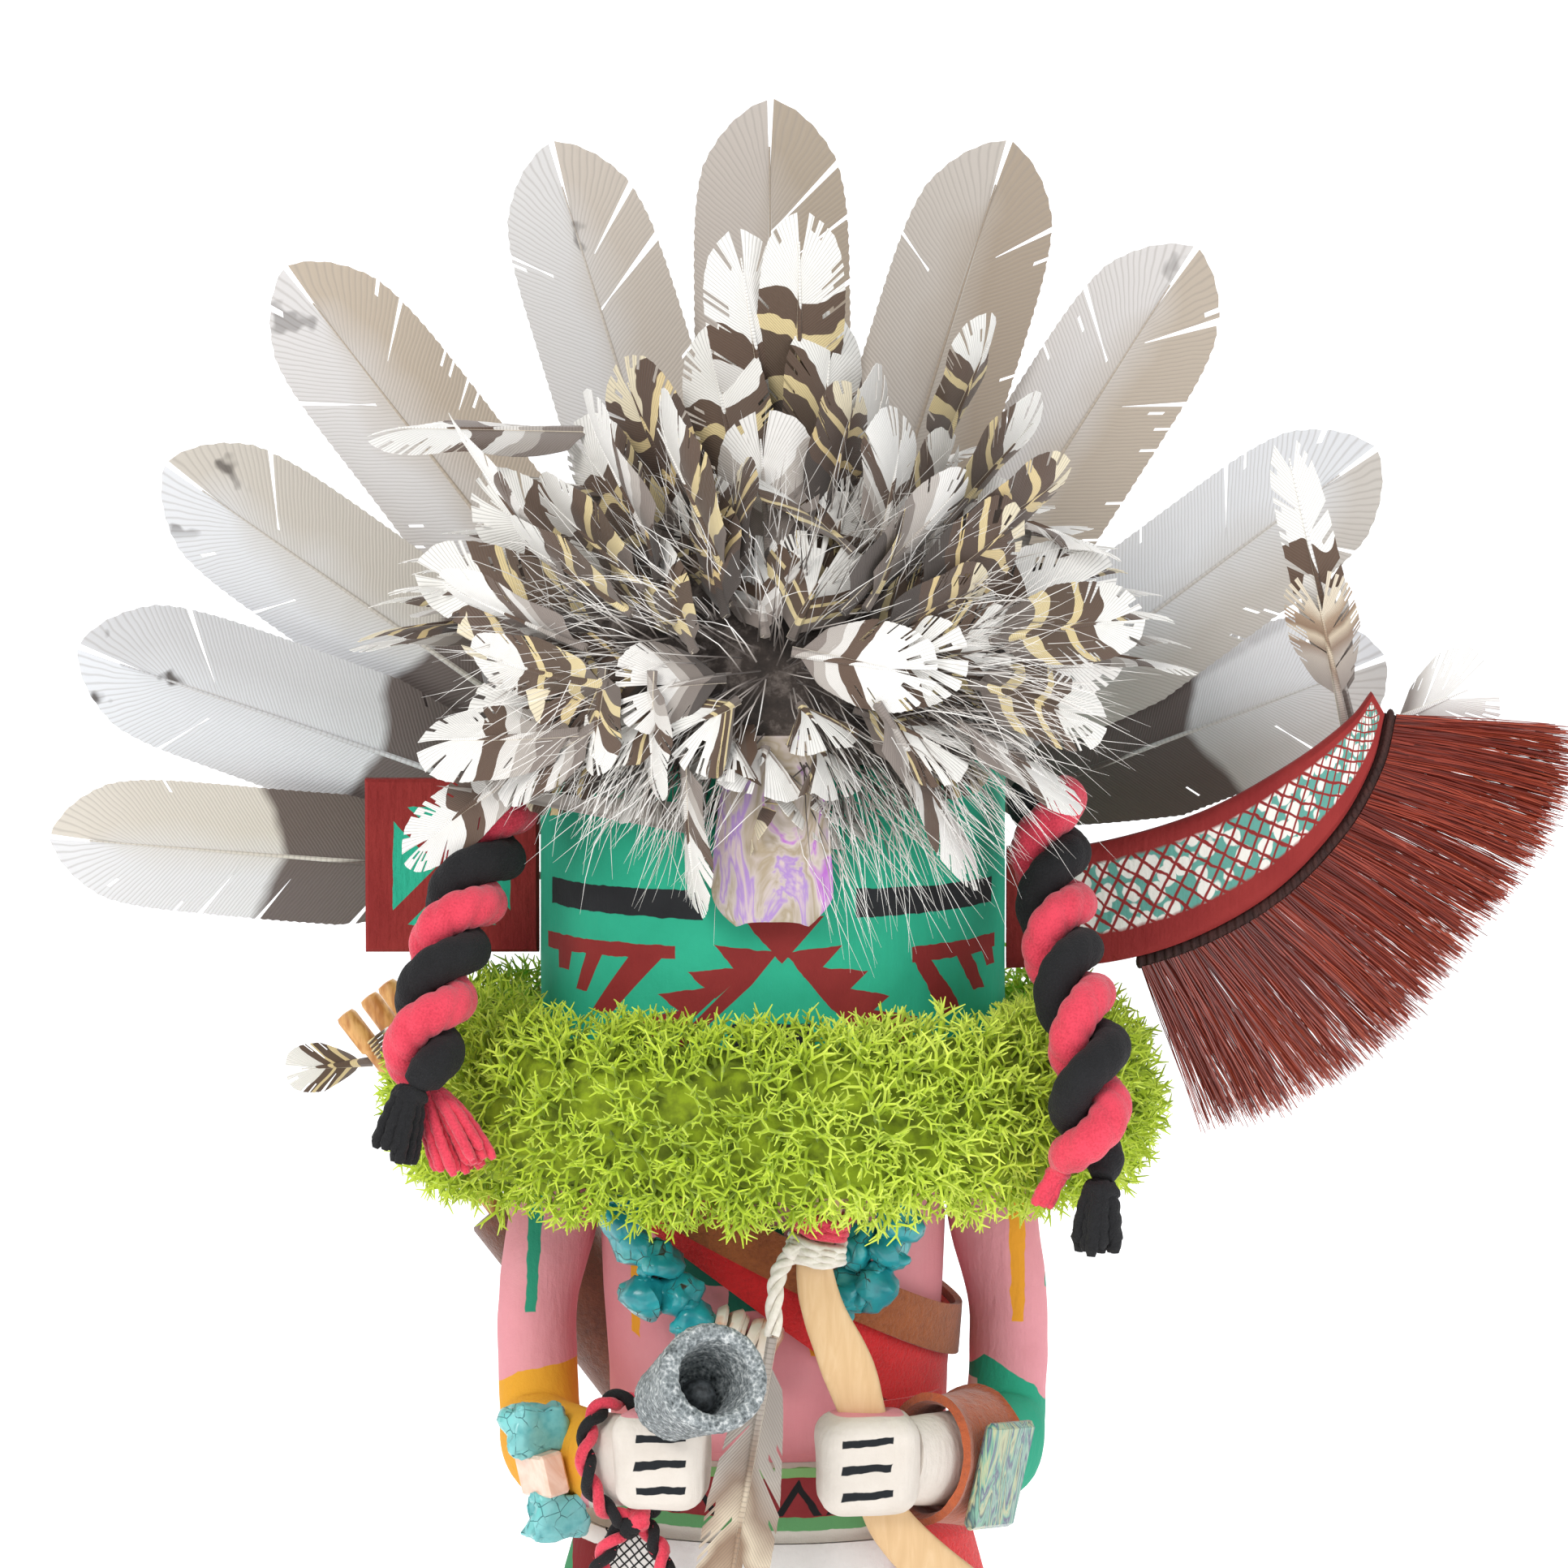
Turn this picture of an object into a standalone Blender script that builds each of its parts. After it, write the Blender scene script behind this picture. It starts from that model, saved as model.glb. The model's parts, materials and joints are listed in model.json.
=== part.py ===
"""Carved and painted kachina doll on a round wooden base.

Metres, +Z up.  The figure faces -Y and the origin is the middle of the base's underside.
Right and left in the names are the figure's own, so its right arm is on the -X side.
"""

import math

import bmesh
import bpy
import numpy as np
from mathutils import Matrix, Vector, noise

for old_object in list(bpy.data.objects):
    bpy.data.objects.remove(old_object, do_unlink=True)

mm = 0.001

# How close two touching pieces come
FIT = 0.3 * mm

# Base
BASE_RADIUS = 60 * mm
BASE_HEIGHT = 18 * mm
BASE_CHAMFER = 2 * mm

# Carved figure from the soles to the top of the neck
FIGURE_HEIGHT = 213.4 * mm
TORSO_WIDTH = 62 * mm
TORSO_DEPTH = 50 * mm
BODY_SIDES = 20
LEG_RADIUS = 9.5 * mm
LEG_SPREAD = 16 * mm
MOCCASIN_LENGTH = 44 * mm
MOCCASIN_WIDTH = 21 * mm
MOCCASIN_HEIGHT = 19 * mm
SHOULDER_RADIUS = 8 * mm

# Head
MASK_RADIUS = 41.5 * mm
MASK_HEIGHT = 55 * mm
MASK_EDGE = 1.6 * mm
EAR_BOARD_SIZE = 31 * mm
EAR_BOARD_THICKNESS = 4 * mm
EAR_BOARD_RISE = 18 * mm
HORN_THICKNESS = 5 * mm
HORN_REACH = 66 * mm
HAIR_LENGTH = 31 * mm
HAIR_THICKNESS = 2.4 * mm
HAIR_BAND_WIDTH = 2.6 * mm

# Feathers
FAN_CENTRE_RISE = 24 * mm
FAN_ROOT = 13 * mm
FAN_TILT = math.radians(9)
QUILL_DIAMETER = 2.4 * mm
VANE_THICKNESS = 0.9 * mm
CROWN_RADIUS = 61 * mm
CROWN_DEPTH = 98 * mm
CROWN_RISE = 50 * mm
HACKLE_WIDTH = 15 * mm
HACKLE_THICKNESS = 2.2 * mm
SHELL_WIDTH = 20.5 * mm
SHELL_LENGTH = 32.5 * mm
SHELL_THICKNESS = 3.6 * mm
SHELL_TUCK = 6 * mm

# Moss ruff and ropes
MOSS_RADIUS = 69.5 * mm
MOSS_HEIGHT = 37 * mm
MOSS_DROP = 24 * mm
STRAND_DIAMETER = 6.6 * mm
STRAND_STEPS = 20
ROPE_TURNS = {"right": 3.06, "left": 3.65}
ROPE_PHASE = {"right": -1.62, "left": -0.63}

# Things worn and held
STRAP_WIDTH = 9 * mm
STRAP_THICKNESS = 1.4 * mm
SASH_THICKNESS = 1.2 * mm
SASH_WIDTH = 14 * mm
CLOTH_GAP = 0.6 * mm
CUFF_LENGTH = 17 * mm
CUFF_THICKNESS = 2 * mm
NUGGET_SIZE = 7.4 * mm
NECKLACE_STRING = 1.6 * mm
DISC_DIAMETER = 10.5 * mm
DISC_THICKNESS = 2.1 * mm
BELL_LENGTH = 26 * mm
BELL_MOUTH_RADIUS = 9.5 * mm
BELL_END_RADIUS = 6.8 * mm
BELL_BORE_RADIUS = 6.3 * mm
BELL_BORE_DEPTH = 15 * mm
CLAPPER_RADIUS = 3.2 * mm
STICK_THICKNESS = 3.2 * mm
YARN_DIAMETER = 4.6 * mm
QUIVER_DIAMETER = 20 * mm
QUIVER_LENGTH = 92 * mm
QUIVER_DROP = 107 * mm
ARROW_DIAMETER = 3 * mm
ARROW_LENGTH = 62 * mm

# Heights that other pieces are placed by
SOLE = BASE_HEIGHT + FIT
NECK_TOP = SOLE + FIGURE_HEIGHT
MASK_BOTTOM = NECK_TOP + FIT
MASK_TOP = MASK_BOTTOM + MASK_HEIGHT
BESIDE_MASK = MASK_RADIUS + FIT
SHELL_TOP = MASK_TOP + SHELL_TUCK
SHELL_DEPTH = -(BESIDE_MASK + SHELL_THICKNESS / 2)

# The kilt flares until its hem is a little wider than the mask
HEM_FLARE = 0.66 * mm
HEM_SHARE = (MASK_RADIUS + HEM_FLARE) / TORSO_WIDTH

# Sections of the body: share of the figure's height, half width and half depth
# as shares of the torso's width and depth.
BODY_SECTIONS = (
    (0.312, HEM_SHARE - 0.02, 0.68),
    (0.325, HEM_SHARE, 0.70),
    (0.450, HEM_SHARE - 0.04, 0.65),
    (0.560, 0.61, 0.61),
    (0.606, 0.565, 0.575),
    (0.613, 0.50, 0.56),
    (0.616, 0.495, 0.565),
    (0.672, 0.490, 0.560),
    (0.676, 0.470, 0.490),
    (0.735, 0.475, 0.488),
    (0.805, 0.492, 0.500),
    (0.866, 0.500, 0.492),
    (0.898, 0.476, 0.460),
    (0.920, 0.435, 0.420),
    (0.941, 0.360, 0.370),
    (0.960, 0.285, 0.325),
    (1.000, 0.265, 0.320),
)


def at_height(share):
    """Height of a share of the figure above its soles."""
    return SOLE + FIGURE_HEIGHT * share


def body_half_sizes(height):
    """Half width and half depth of the carved body at a height."""
    share = (height - SOLE) / FIGURE_HEIGHT
    shares = [section[0] for section in BODY_SECTIONS]
    half_width = np.interp(share, shares, [section[1] for section in BODY_SECTIONS]) * TORSO_WIDTH
    half_depth = np.interp(share, shares, [section[2] for section in BODY_SECTIONS]) * TORSO_DEPTH
    return half_width, half_depth


def on_body(angle, height, out=0.0):
    """Point on the body at an angle from +X, pushed straight out by a distance."""
    half_width, half_depth = body_half_sizes(height)
    return Vector(((half_width + out) * math.cos(angle), (half_depth + out) * math.sin(angle), height))


# Collections, finishes and modelling helpers

doll = bpy.data.collections.new("Kachina doll")
cutters = bpy.data.collections.new("Cutters")
bpy.context.scene.collection.children.link(doll)
bpy.context.scene.collection.children.link(cutters)


def finish(name, color, roughness, metallic=0.0):
    material = bpy.data.materials.new(name)
    material.use_nodes = True
    shader = material.node_tree.nodes["Principled BSDF"]
    shader.inputs["Base Color"].default_value = (*color, 1)
    shader.inputs["Roughness"].default_value = roughness
    shader.inputs["Metallic"].default_value = metallic
    return material


def add_piece(name, bm, material, smooth_angle=40):
    """Turn a bmesh into a named object of the doll."""
    bmesh.ops.recalc_face_normals(bm, faces=bm.faces)
    mesh = bpy.data.meshes.new(name)
    bm.to_mesh(mesh)
    bm.free()
    mesh.shade_smooth()
    mesh.set_sharp_from_angle(angle=math.radians(smooth_angle))
    mesh.materials.append(material)
    obj = bpy.data.objects.new(name, mesh)
    doll.objects.link(obj)
    return obj


def as_tool(obj):
    """Keep an object only as the cutter or the addition of a Boolean."""
    doll.objects.unlink(obj)
    cutters.objects.link(obj)
    obj.hide_render = True
    obj.display_type = "WIRE"
    return obj


def combine(obj, tool, operation):
    """Cut an object with a tool, or grow it by one."""
    boolean = obj.modifiers.new(tool.name, "BOOLEAN")
    boolean.object = as_tool(tool)
    boolean.operation = operation
    boolean.solver = "EXACT"


def grow_by_all(obj, additions):
    """Grow an object by several others at once."""
    group = bpy.data.collections.new(f"{obj.name} additions")
    cutters.children.link(group)
    for addition in additions:
        cutters.objects.unlink(as_tool(addition))
        group.objects.link(addition)
    boolean = obj.modifiers.new(group.name, "BOOLEAN")
    boolean.operand_type = "COLLECTION"
    boolean.collection = group
    boolean.operation = "UNION"
    boolean.solver = "EXACT"


def loft(bm, rings, closed=False):
    """Skin a row of rings; the ends are capped, or joined to each other."""
    loops = [[bm.verts.new(point) for point in ring] for ring in rings]
    pairs = list(zip(loops, loops[1:]))
    if closed:
        pairs.append((loops[-1], loops[0]))
    for low, high in pairs:
        count = len(low)
        for i in range(count):
            j = (i + 1) % count
            bm.faces.new((low[i], low[j], high[j], high[i]))
    if not closed:
        bm.faces.new(list(reversed(loops[0])))
        bm.faces.new(loops[-1])


def smooth_rows(rows, count):
    """Rows of numbers read from a smooth curve through the given rows."""
    knots = np.array(rows, dtype=float)
    padded = np.vstack((2 * knots[0] - knots[1], knots, 2 * knots[-1] - knots[-2]))
    result = []
    for place in np.linspace(0, len(knots) - 1, count):
        i = min(int(place), len(knots) - 2)
        t = place - i
        before, start, end, after = padded[i:i + 4]
        result.append(0.5 * (2 * start + (end - before) * t
                             + (2 * before - 5 * start + 4 * end - after) * t ** 2
                             + (3 * start - before - 3 * end + after) * t ** 3))
    return result


def frames_along(points, side):
    """Point, direction, side and up at each point, with as little twist as can be."""
    frames = []
    for i, point in enumerate(points):
        direction = (points[min(i + 1, len(points) - 1)] - points[max(i - 1, 0)]).normalized()
        side = (side - direction * side.dot(direction)).normalized()
        frames.append((point, direction, side, direction.cross(side)))
    return frames


def ellipse_at(frame, half_side, half_up, sides):
    """A ring of points around a frame."""
    point, direction, side, up = frame
    ring = []
    for i in range(sides):
        angle = 2 * math.pi * (i + 0.5) / sides
        ring.append(point + side * half_side * math.cos(angle) + up * half_up * math.sin(angle))
    return ring


def tube(bm, points, radius, sides=8, side=Vector((1, 0, 0))):
    frames = frames_along(points, side)
    loft(bm, [ellipse_at(frame, radius, radius, sides) for frame in frames])


def turned(name, profile, steps, material):
    """A turned piece from (radius, height) pairs listed top to bottom."""
    mesh = bpy.data.meshes.new(name)
    points = [(radius, 0, height) for radius, height in profile]
    mesh.from_pydata(points, [(i, i + 1) for i in range(len(points) - 1)], [])
    mesh.materials.append(material)
    obj = bpy.data.objects.new(name, mesh)
    doll.objects.link(obj)
    screw = obj.modifiers.new("Turning", "SCREW")
    screw.steps = steps
    screw.render_steps = steps
    screw.use_merge_vertices = True
    screw.merge_threshold = 0.01 * mm
    screw.use_smooth_shade = True
    return obj


def flat_board(name, outline, thickness, material, edge=0.0, tilt_y=0.0):
    """A board in the XZ plane, cut to an outline and centred on a depth."""
    bm = bmesh.new()
    verts = [bm.verts.new((x, tilt_y - thickness / 2, z)) for x, z in outline]
    face = bm.faces.new(verts)
    grown = bmesh.ops.extrude_face_region(bm, geom=[face])
    moved = [item for item in grown["geom"] if isinstance(item, bmesh.types.BMVert)]
    bmesh.ops.translate(bm, verts=moved, vec=(0, thickness, 0))
    if edge:
        rim = [e for e in bm.edges if abs(e.verts[0].co.y - e.verts[1].co.y) < thickness / 4]
        bmesh.ops.bevel(bm, geom=rim, offset=edge, segments=1, profile=0.5,
                        affect="EDGES", material=-1)
    return add_piece(name, bm, material)


def rounded_block(bm, centre, size, edge, turn=0.0):
    """A box with rounded edges, turned about its upright axis."""
    place = Matrix.Translation(centre) @ Matrix.Rotation(turn, 4, "Z") @ Matrix.Diagonal((*size, 1))
    made = bmesh.ops.create_cube(bm, size=1, matrix=place)
    edges = list({edge_ for vert in made["verts"] for edge_ in vert.link_edges})
    bmesh.ops.bevel(bm, geom=edges, offset=edge, segments=1, profile=0.5,
                    affect="EDGES", material=-1)


# Base and figure

def make_base():
    """A turned wooden slab with a chamfered top edge."""
    profile = (
        (0, BASE_HEIGHT),
        (BASE_RADIUS - BASE_CHAMFER, BASE_HEIGHT),
        (BASE_RADIUS, BASE_HEIGHT - BASE_CHAMFER),
        (BASE_RADIUS, 0),
        (0, 0),
    )
    turned("base", profile, 36, finish("base wood", (0.42, 0.27, 0.15), 0.6))


def make_leg(side_sign, material):
    """A leg that runs up into the kilt, and its moccasin."""
    hem = at_height(BODY_SECTIONS[0][0])
    x = side_sign * LEG_SPREAD
    leg = bmesh.new()
    rows = ((SOLE + 0.7 * MOCCASIN_HEIGHT, 0.9), (SOLE + MOCCASIN_HEIGHT, 0.86),
            ((SOLE + hem) / 2, 1.05), (hem - FIT, 0.95), (hem + 2 * mm, 0.95))
    rings = []
    for height, share in rows:
        frame = (Vector((x, 0, height)), Vector((0, 0, 1)), Vector((1, 0, 0)), Vector((0, 1, 0)))
        rings.append(ellipse_at(frame, LEG_RADIUS * share, LEG_RADIUS * share, 12))
    loft(leg, rings)
    leg_piece = add_piece(f"leg {side_sign}", leg, material)
    foot = bmesh.new()
    heel = LEG_RADIUS * 1.15
    toe = heel - MOCCASIN_LENGTH
    rows = ((heel, 0.55, 0.72), (heel - 0.12 * MOCCASIN_LENGTH, 0.84, 0.97), (0, 0.9, 1.0),
            (toe * 0.45, 0.96, 0.72), (toe * 0.8, 1.0, 0.52), (toe, 0.55, 0.34))
    rings = []
    for depth, width, height in rows:
        half = MOCCASIN_WIDTH / 2 * width
        top = SOLE + MOCCASIN_HEIGHT * height
        rings.append([Vector((x - half, depth, SOLE)), Vector((x + half, depth, SOLE)),
                      Vector((x + half, depth, (SOLE + top) / 2)), Vector((x + half * 0.6, depth, top)),
                      Vector((x - half * 0.6, depth, top)), Vector((x - half, depth, (SOLE + top) / 2))])
    loft(foot, rings)
    foot_piece = add_piece(f"moccasin {side_sign}", foot, material)
    return leg_piece, foot_piece


def make_figure():
    """Kilt, belt, torso, shoulders and neck in one, with legs and moccasins joined on."""
    material = finish("painted cottonwood", (0.70, 0.28, 0.30), 0.75)
    bm = bmesh.new()
    rings = []
    for share, half_width, half_depth in BODY_SECTIONS:
        rings.append([on_body(2 * math.pi * i / BODY_SIDES, at_height(share)) for i in range(BODY_SIDES)])
    loft(bm, rings)
    figure = add_piece("figure", bm, material, 30)
    for side_sign in (-1, 1):
        for extra in make_leg(side_sign, material):
            combine(figure, extra, "UNION")


# Arms

# Along an arm from the shoulder: out from the shoulder's middle, forwards and down,
# then the half sizes across and up, all as shares of the shoulder's radius.
ARM_ROWS = (
    (0.00, 0.00, 1.00, 0.45, 0.45),
    (0.00, 0.00, 0.62, 0.86, 0.86),
    (0.00, 0.00, 0.00, 1.00, 1.00),
    (0.34, 0.10, -1.80, 0.90, 0.96),
    (0.38, 0.22, -3.20, 0.88, 1.00),
    (0.30, 0.60, -4.45, 0.90, 1.12),
    (0.18, 1.42, -5.05, 0.94, 1.26),
    (-0.36, 2.60, -5.05, 0.90, 1.18),
    (-0.96, 3.65, -4.95, 0.84, 1.10),
    (-1.60, 4.60, -4.80, 0.76, 1.02),
    (-2.15, 5.20, -4.70, 0.70, 0.95),
)
SHOULDER_HEIGHT = at_height(0.866)
SHOULDER_OUT = TORSO_WIDTH / 2 + FIT + SHOULDER_RADIUS
# The forearms reach inwards in step with the torso's width
ARM_SPAN = TORSO_WIDTH / 7.75
FIST_SIZES = {-1: Vector((16.4 * mm, 14 * mm, 17.6 * mm)), 1: Vector((18 * mm, 14 * mm, 18 * mm))}
FIST_SHARES = {-1: Vector((-2.50, 5.35, -4.62)), 1: Vector((-2.84, 5.35, -4.72))}
FIST_EDGE = 3.6 * mm
ARM_SIDES = 10


def arm_frames(side_sign, count):
    """Frames and half sizes along an arm."""
    rows = smooth_rows(ARM_ROWS, count)
    points = [Vector((side_sign * (SHOULDER_OUT + out * ARM_SPAN), -ahead * SHOULDER_RADIUS,
                      SHOULDER_HEIGHT + rise * SHOULDER_RADIUS)) for out, ahead, rise, _, _ in rows]
    frames = frames_along(points, Vector((1, 0, 0)))
    return [(frame, row[3] * SHOULDER_RADIUS, row[4] * SHOULDER_RADIUS)
            for frame, row in zip(frames, rows)]


def fist_centre(side_sign):
    out, ahead, rise = FIST_SHARES[side_sign]
    return Vector((side_sign * (SHOULDER_OUT + out * ARM_SPAN), -ahead * SHOULDER_RADIUS,
                   SHOULDER_HEIGHT + rise * SHOULDER_RADIUS))


def make_arm(name, side_sign):
    """An arm carved by itself, with its fist joined on."""
    material = finish(f"{name} paint", (0.70, 0.28, 0.30), 0.75)
    bm = bmesh.new()
    loft(bm, [ellipse_at(frame, across, up, ARM_SIDES) for frame, across, up in arm_frames(side_sign, 14)])
    arm = add_piece(name, bm, material)
    fist = bmesh.new()
    rounded_block(fist, fist_centre(side_sign), FIST_SIZES[side_sign], FIST_EDGE,
                  turn=side_sign * math.radians(10))
    combine(arm, add_piece(f"{name} fist", fist, material), "UNION")
    return arm


# Head

def make_case_mask():
    profile = (
        (0, MASK_TOP),
        (MASK_RADIUS - MASK_EDGE, MASK_TOP),
        (MASK_RADIUS, MASK_TOP - MASK_EDGE),
        (MASK_RADIUS, MASK_BOTTOM),
        (0, MASK_BOTTOM),
    )
    turned("case_mask", profile, 40, finish("mask green", (0.02, 0.35, 0.22), 0.6))


def make_ear_board():
    """A square board on the figure's right side of the mask."""
    inner = -BESIDE_MASK
    outer = inner - EAR_BOARD_SIZE
    low = MASK_BOTTOM + EAR_BOARD_RISE
    outline = ((outer, low), (inner, low), (inner, low + EAR_BOARD_SIZE), (outer, low + EAR_BOARD_SIZE))
    flat_board("ear_board", outline, EAR_BOARD_THICKNESS,
               finish("ear board paint", (0.30, 0.03, 0.03), 0.65), edge=0.5 * mm)


# The crescent's two edges as shares of its reach from the mask: outwards and up
HORN_TOP_EDGE = ((0.00, 0.300), (0.22, 0.305), (0.52, 0.390), (0.76, 0.520), (0.92, 0.640), (0.985, 0.720))
HORN_LOW_EDGE = ((0.00, -0.030), (0.27, -0.015), (0.50, 0.050), (0.72, 0.175), (0.89, 0.350),
                 (0.985, 0.520), (1.020, 0.660))
HORN_RISE = 17 * mm


def horn_place(share):
    out, up = share
    return BESIDE_MASK + out * HORN_REACH, MASK_BOTTOM + HORN_RISE + up * HORN_REACH


def horn_low_edge(count):
    """Points along the crescent's lower and outer edge, from the mask to the tip."""
    return [Vector((x, 0, z)) for x, z in
            (horn_place(row) for row in smooth_rows(HORN_LOW_EDGE, count))]


def make_wing_horn():
    """A crescent board that sweeps up from the figure's left side of the mask."""
    top = [horn_place(row) for row in smooth_rows(HORN_TOP_EDGE, 13)]
    low = [(point.x, point.z) for point in horn_low_edge(15)]
    flat_board("wing_horn", low + top[::-1], HORN_THICKNESS,
               finish("horn paint", (0.30, 0.03, 0.03), 0.65), edge=0.9 * mm)


HAIR_START = 0.22
HAIR_FIRST_ANGLE = math.radians(-54)
HAIR_LAST_ANGLE = math.radians(-4)


def fringe_rows(count):
    """Where each part of the fringe leaves the crescent, and which way it points."""
    rows = []
    edge = horn_low_edge(4 * count + 1)
    places = np.linspace(HAIR_START * 4 * count, 4 * count, count).astype(int)
    for i, k in enumerate(places):
        t = i / (count - 1)
        angle = HAIR_FIRST_ANGLE + (HAIR_LAST_ANGLE - HAIR_FIRST_ANGLE) * t
        rows.append((edge[k], Vector((math.cos(angle), 0, math.sin(angle))), t))
    return rows


def make_fringe():
    """The dark stitched band along the crescent's edge, and the hair that it holds."""
    band = bmesh.new()
    band_rings = []
    hair_rings = []
    for point, out, t in fringe_rows(18):
        start = point + out * FIT
        end = start + out * HAIR_BAND_WIDTH
        half = HORN_THICKNESS * 0.32 * Vector((0, 1, 0))
        band_rings.append([start - half, end - half, end + half, start + half])
        root = end + out * FIT
        length = HAIR_LENGTH * (0.96 + 0.05 * math.sin(9 * t) - 0.1 * (t - 0.5) ** 2)
        tip = root + out * length
        thick = HAIR_THICKNESS / 2 * Vector((0, 1, 0))
        hair_rings.append([root - thick, tip - thick * 0.45, tip + thick * 0.45, root + thick])
    loft(band, band_rings)
    add_piece("fringe_band", band, finish("dark hair cord", (0.03, 0.015, 0.012), 0.8))
    hair = bmesh.new()
    loft(hair, hair_rings)
    add_piece("horsehair_fringe", hair, finish("red horsehair", (0.22, 0.035, 0.02), 0.5))


# Feathers

# Half width of a vane along the feather, as shares of its length and full half width
VANE_SHAPE = ((0.0, 0.16), (0.10, 0.50), (0.28, 0.80), (0.52, 0.97), (0.76, 1.00), (0.92, 0.78), (1.0, 0.24))
SPLAYED_SHAPE = ((0.0, 0.20), (0.15, 0.70), (0.40, 1.00), (0.65, 0.90), (0.85, 0.62), (1.0, 0.14))


def feather(name, root, along, face, quill, length, width, material,
            shape=VANE_SHAPE, bend=0.0, thickness=VANE_THICKNESS):
    """A feather with a bare quill and a vane, thickest along the quill.

    It starts at root and runs along one direction; face is the direction that its
    flat side looks.  bend curves it away from that side.
    """
    along = along.normalized()
    face = (face - along * face.dot(along)).normalized()
    across = along.cross(face)
    half_quill = QUILL_DIAMETER / 2
    rows = [(0.0, half_quill, half_quill), (quill, half_quill, half_quill)]
    for share, half in shape:
        rows.append((quill + 1.5 * mm + (length - quill - 1.5 * mm) * share, half * width / 2, thickness / 2))
    rings = []
    for distance, half_width, half_thick in rows:
        middle = root + along * distance - face * bend * (distance / length) ** 2
        rings.append([middle + across * half_width, middle + face * half_thick,
                      middle - across * half_width, middle - face * half_thick])
    bm = bmesh.new()
    loft(bm, rings)
    return add_piece(name, bm, material)


# The fan, from the figure's low right round to its left: direction in degrees from +X,
# distance from the fan's centre to the tip, width, and how far out the vane starts
FAN = (
    (176.0, 134 * mm, 25 * mm, 50 * mm),
    (160.0, 136 * mm, 28 * mm, 46 * mm),
    (144.6, 137 * mm, 28 * mm, 46 * mm),
    (128.2, 146 * mm, 28 * mm, 46 * mm),
    (106.0, 144 * mm, 28 * mm, 46 * mm),
    (90.2, 146 * mm, 29 * mm, 46 * mm),
    (73.0, 145 * mm, 28 * mm, 46 * mm),
    (56.4, 142 * mm, 28 * mm, 46 * mm),
    (36.5, 138 * mm, 28 * mm, 46 * mm),
    (21.5, 121 * mm, 28 * mm, 50 * mm),
)


def fan_root(angle):
    """Where a fan feather's quill ends, against the back of the mask."""
    x = FAN_ROOT * math.cos(angle)
    back = math.sqrt(MASK_RADIUS ** 2 - x ** 2) + FIT + QUILL_DIAMETER / 2
    return Vector((x, back, MASK_BOTTOM + FAN_CENTRE_RISE + FAN_ROOT * math.sin(angle)))


def make_fan():
    """Ten quill feathers that spread from the back of the mask, each overlapping the next."""
    for number, (degrees, reach, width, bare) in enumerate(FAN, start=1):
        angle = math.radians(degrees)
        along = Vector((math.cos(angle), 0, math.sin(angle)))
        across = Vector((-math.sin(angle), 0, math.cos(angle)))
        face = Vector((0, -1, 0)) * math.cos(FAN_TILT) + across * math.sin(FAN_TILT)
        material = finish(f"fan feather {number}", (0.62, 0.58, 0.54), 0.6)
        feather(f"fan_feather_{number:02d}", fan_root(angle), along, face,
                bare - FAN_ROOT, reach - FAN_ROOT, width, material)


# Tiers of crown hackles: how many, first and last direction in degrees round the crown's
# middle seen from the front, reach, how far ahead of that middle the root and the tip are, and bow
HACKLE_TIERS = (
    (7, 20, 160, 70 * mm, 0, 6 * mm, 2 * mm),
    (6, 8, 172, 52 * mm, 0, 30 * mm, 4 * mm),
    (3, 186, 218, 72 * mm, 0, 18 * mm, 6 * mm),
    (3, 322, 354, 72 * mm, 0, 18 * mm, 6 * mm),
    (2, 238, 254, 52 * mm, 16 * mm, 24 * mm, 2 * mm),
    (2, 286, 302, 52 * mm, 16 * mm, 24 * mm, 2 * mm),
)
CROWN_MIDDLE = Vector((0.9 * mm, -32 * mm, MASK_TOP + 17 * mm))
CROWN_CENTRE_BACK = 9 * mm
CROWN_BELLY = 12 * mm
CROWN_BACK = MASK_RADIUS - 3.5 * mm


def make_hackles(material):
    """Lance-shaped feathers that spread from the crown's middle and bow forwards."""
    hackles = []
    for count, first, last, reach, start, ahead, bow in HACKLE_TIERS:
        for i in range(count):
            angle = math.radians(first + (last - first) * i / (count - 1))
            out = Vector((math.cos(angle), 0, math.sin(angle)))
            root = CROWN_MIDDLE + out * (8 + 0.45 * i) * mm + Vector((0, -start - 0.06 * mm * len(hackles), 0))
            tip = CROWN_MIDDLE + out * reach + Vector((0, -ahead, 0))
            along = (tip - root).normalized()
            across = along.cross(Vector((0, 1, 0))).normalized()
            face = across.cross(along)
            rings = []
            for share, half in ((0, 0.4), (0.24, 0.8), (0.7, 1.0), (1.0, 0.25)):
                middle = root.lerp(tip, share) + Vector((0, -4 * bow * share * (1 - share), 0))
                wide = across * HACKLE_WIDTH / 2 * half
                thick = face * HACKLE_THICKNESS / 2
                rings.append([middle + wide, middle + thick, middle - wide, middle - thick])
            bm = bmesh.new()
            loft(bm, rings)
            hackles.append(add_piece(f"hackle {len(hackles) + 1}", bm, material))
    return hackles


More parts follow.
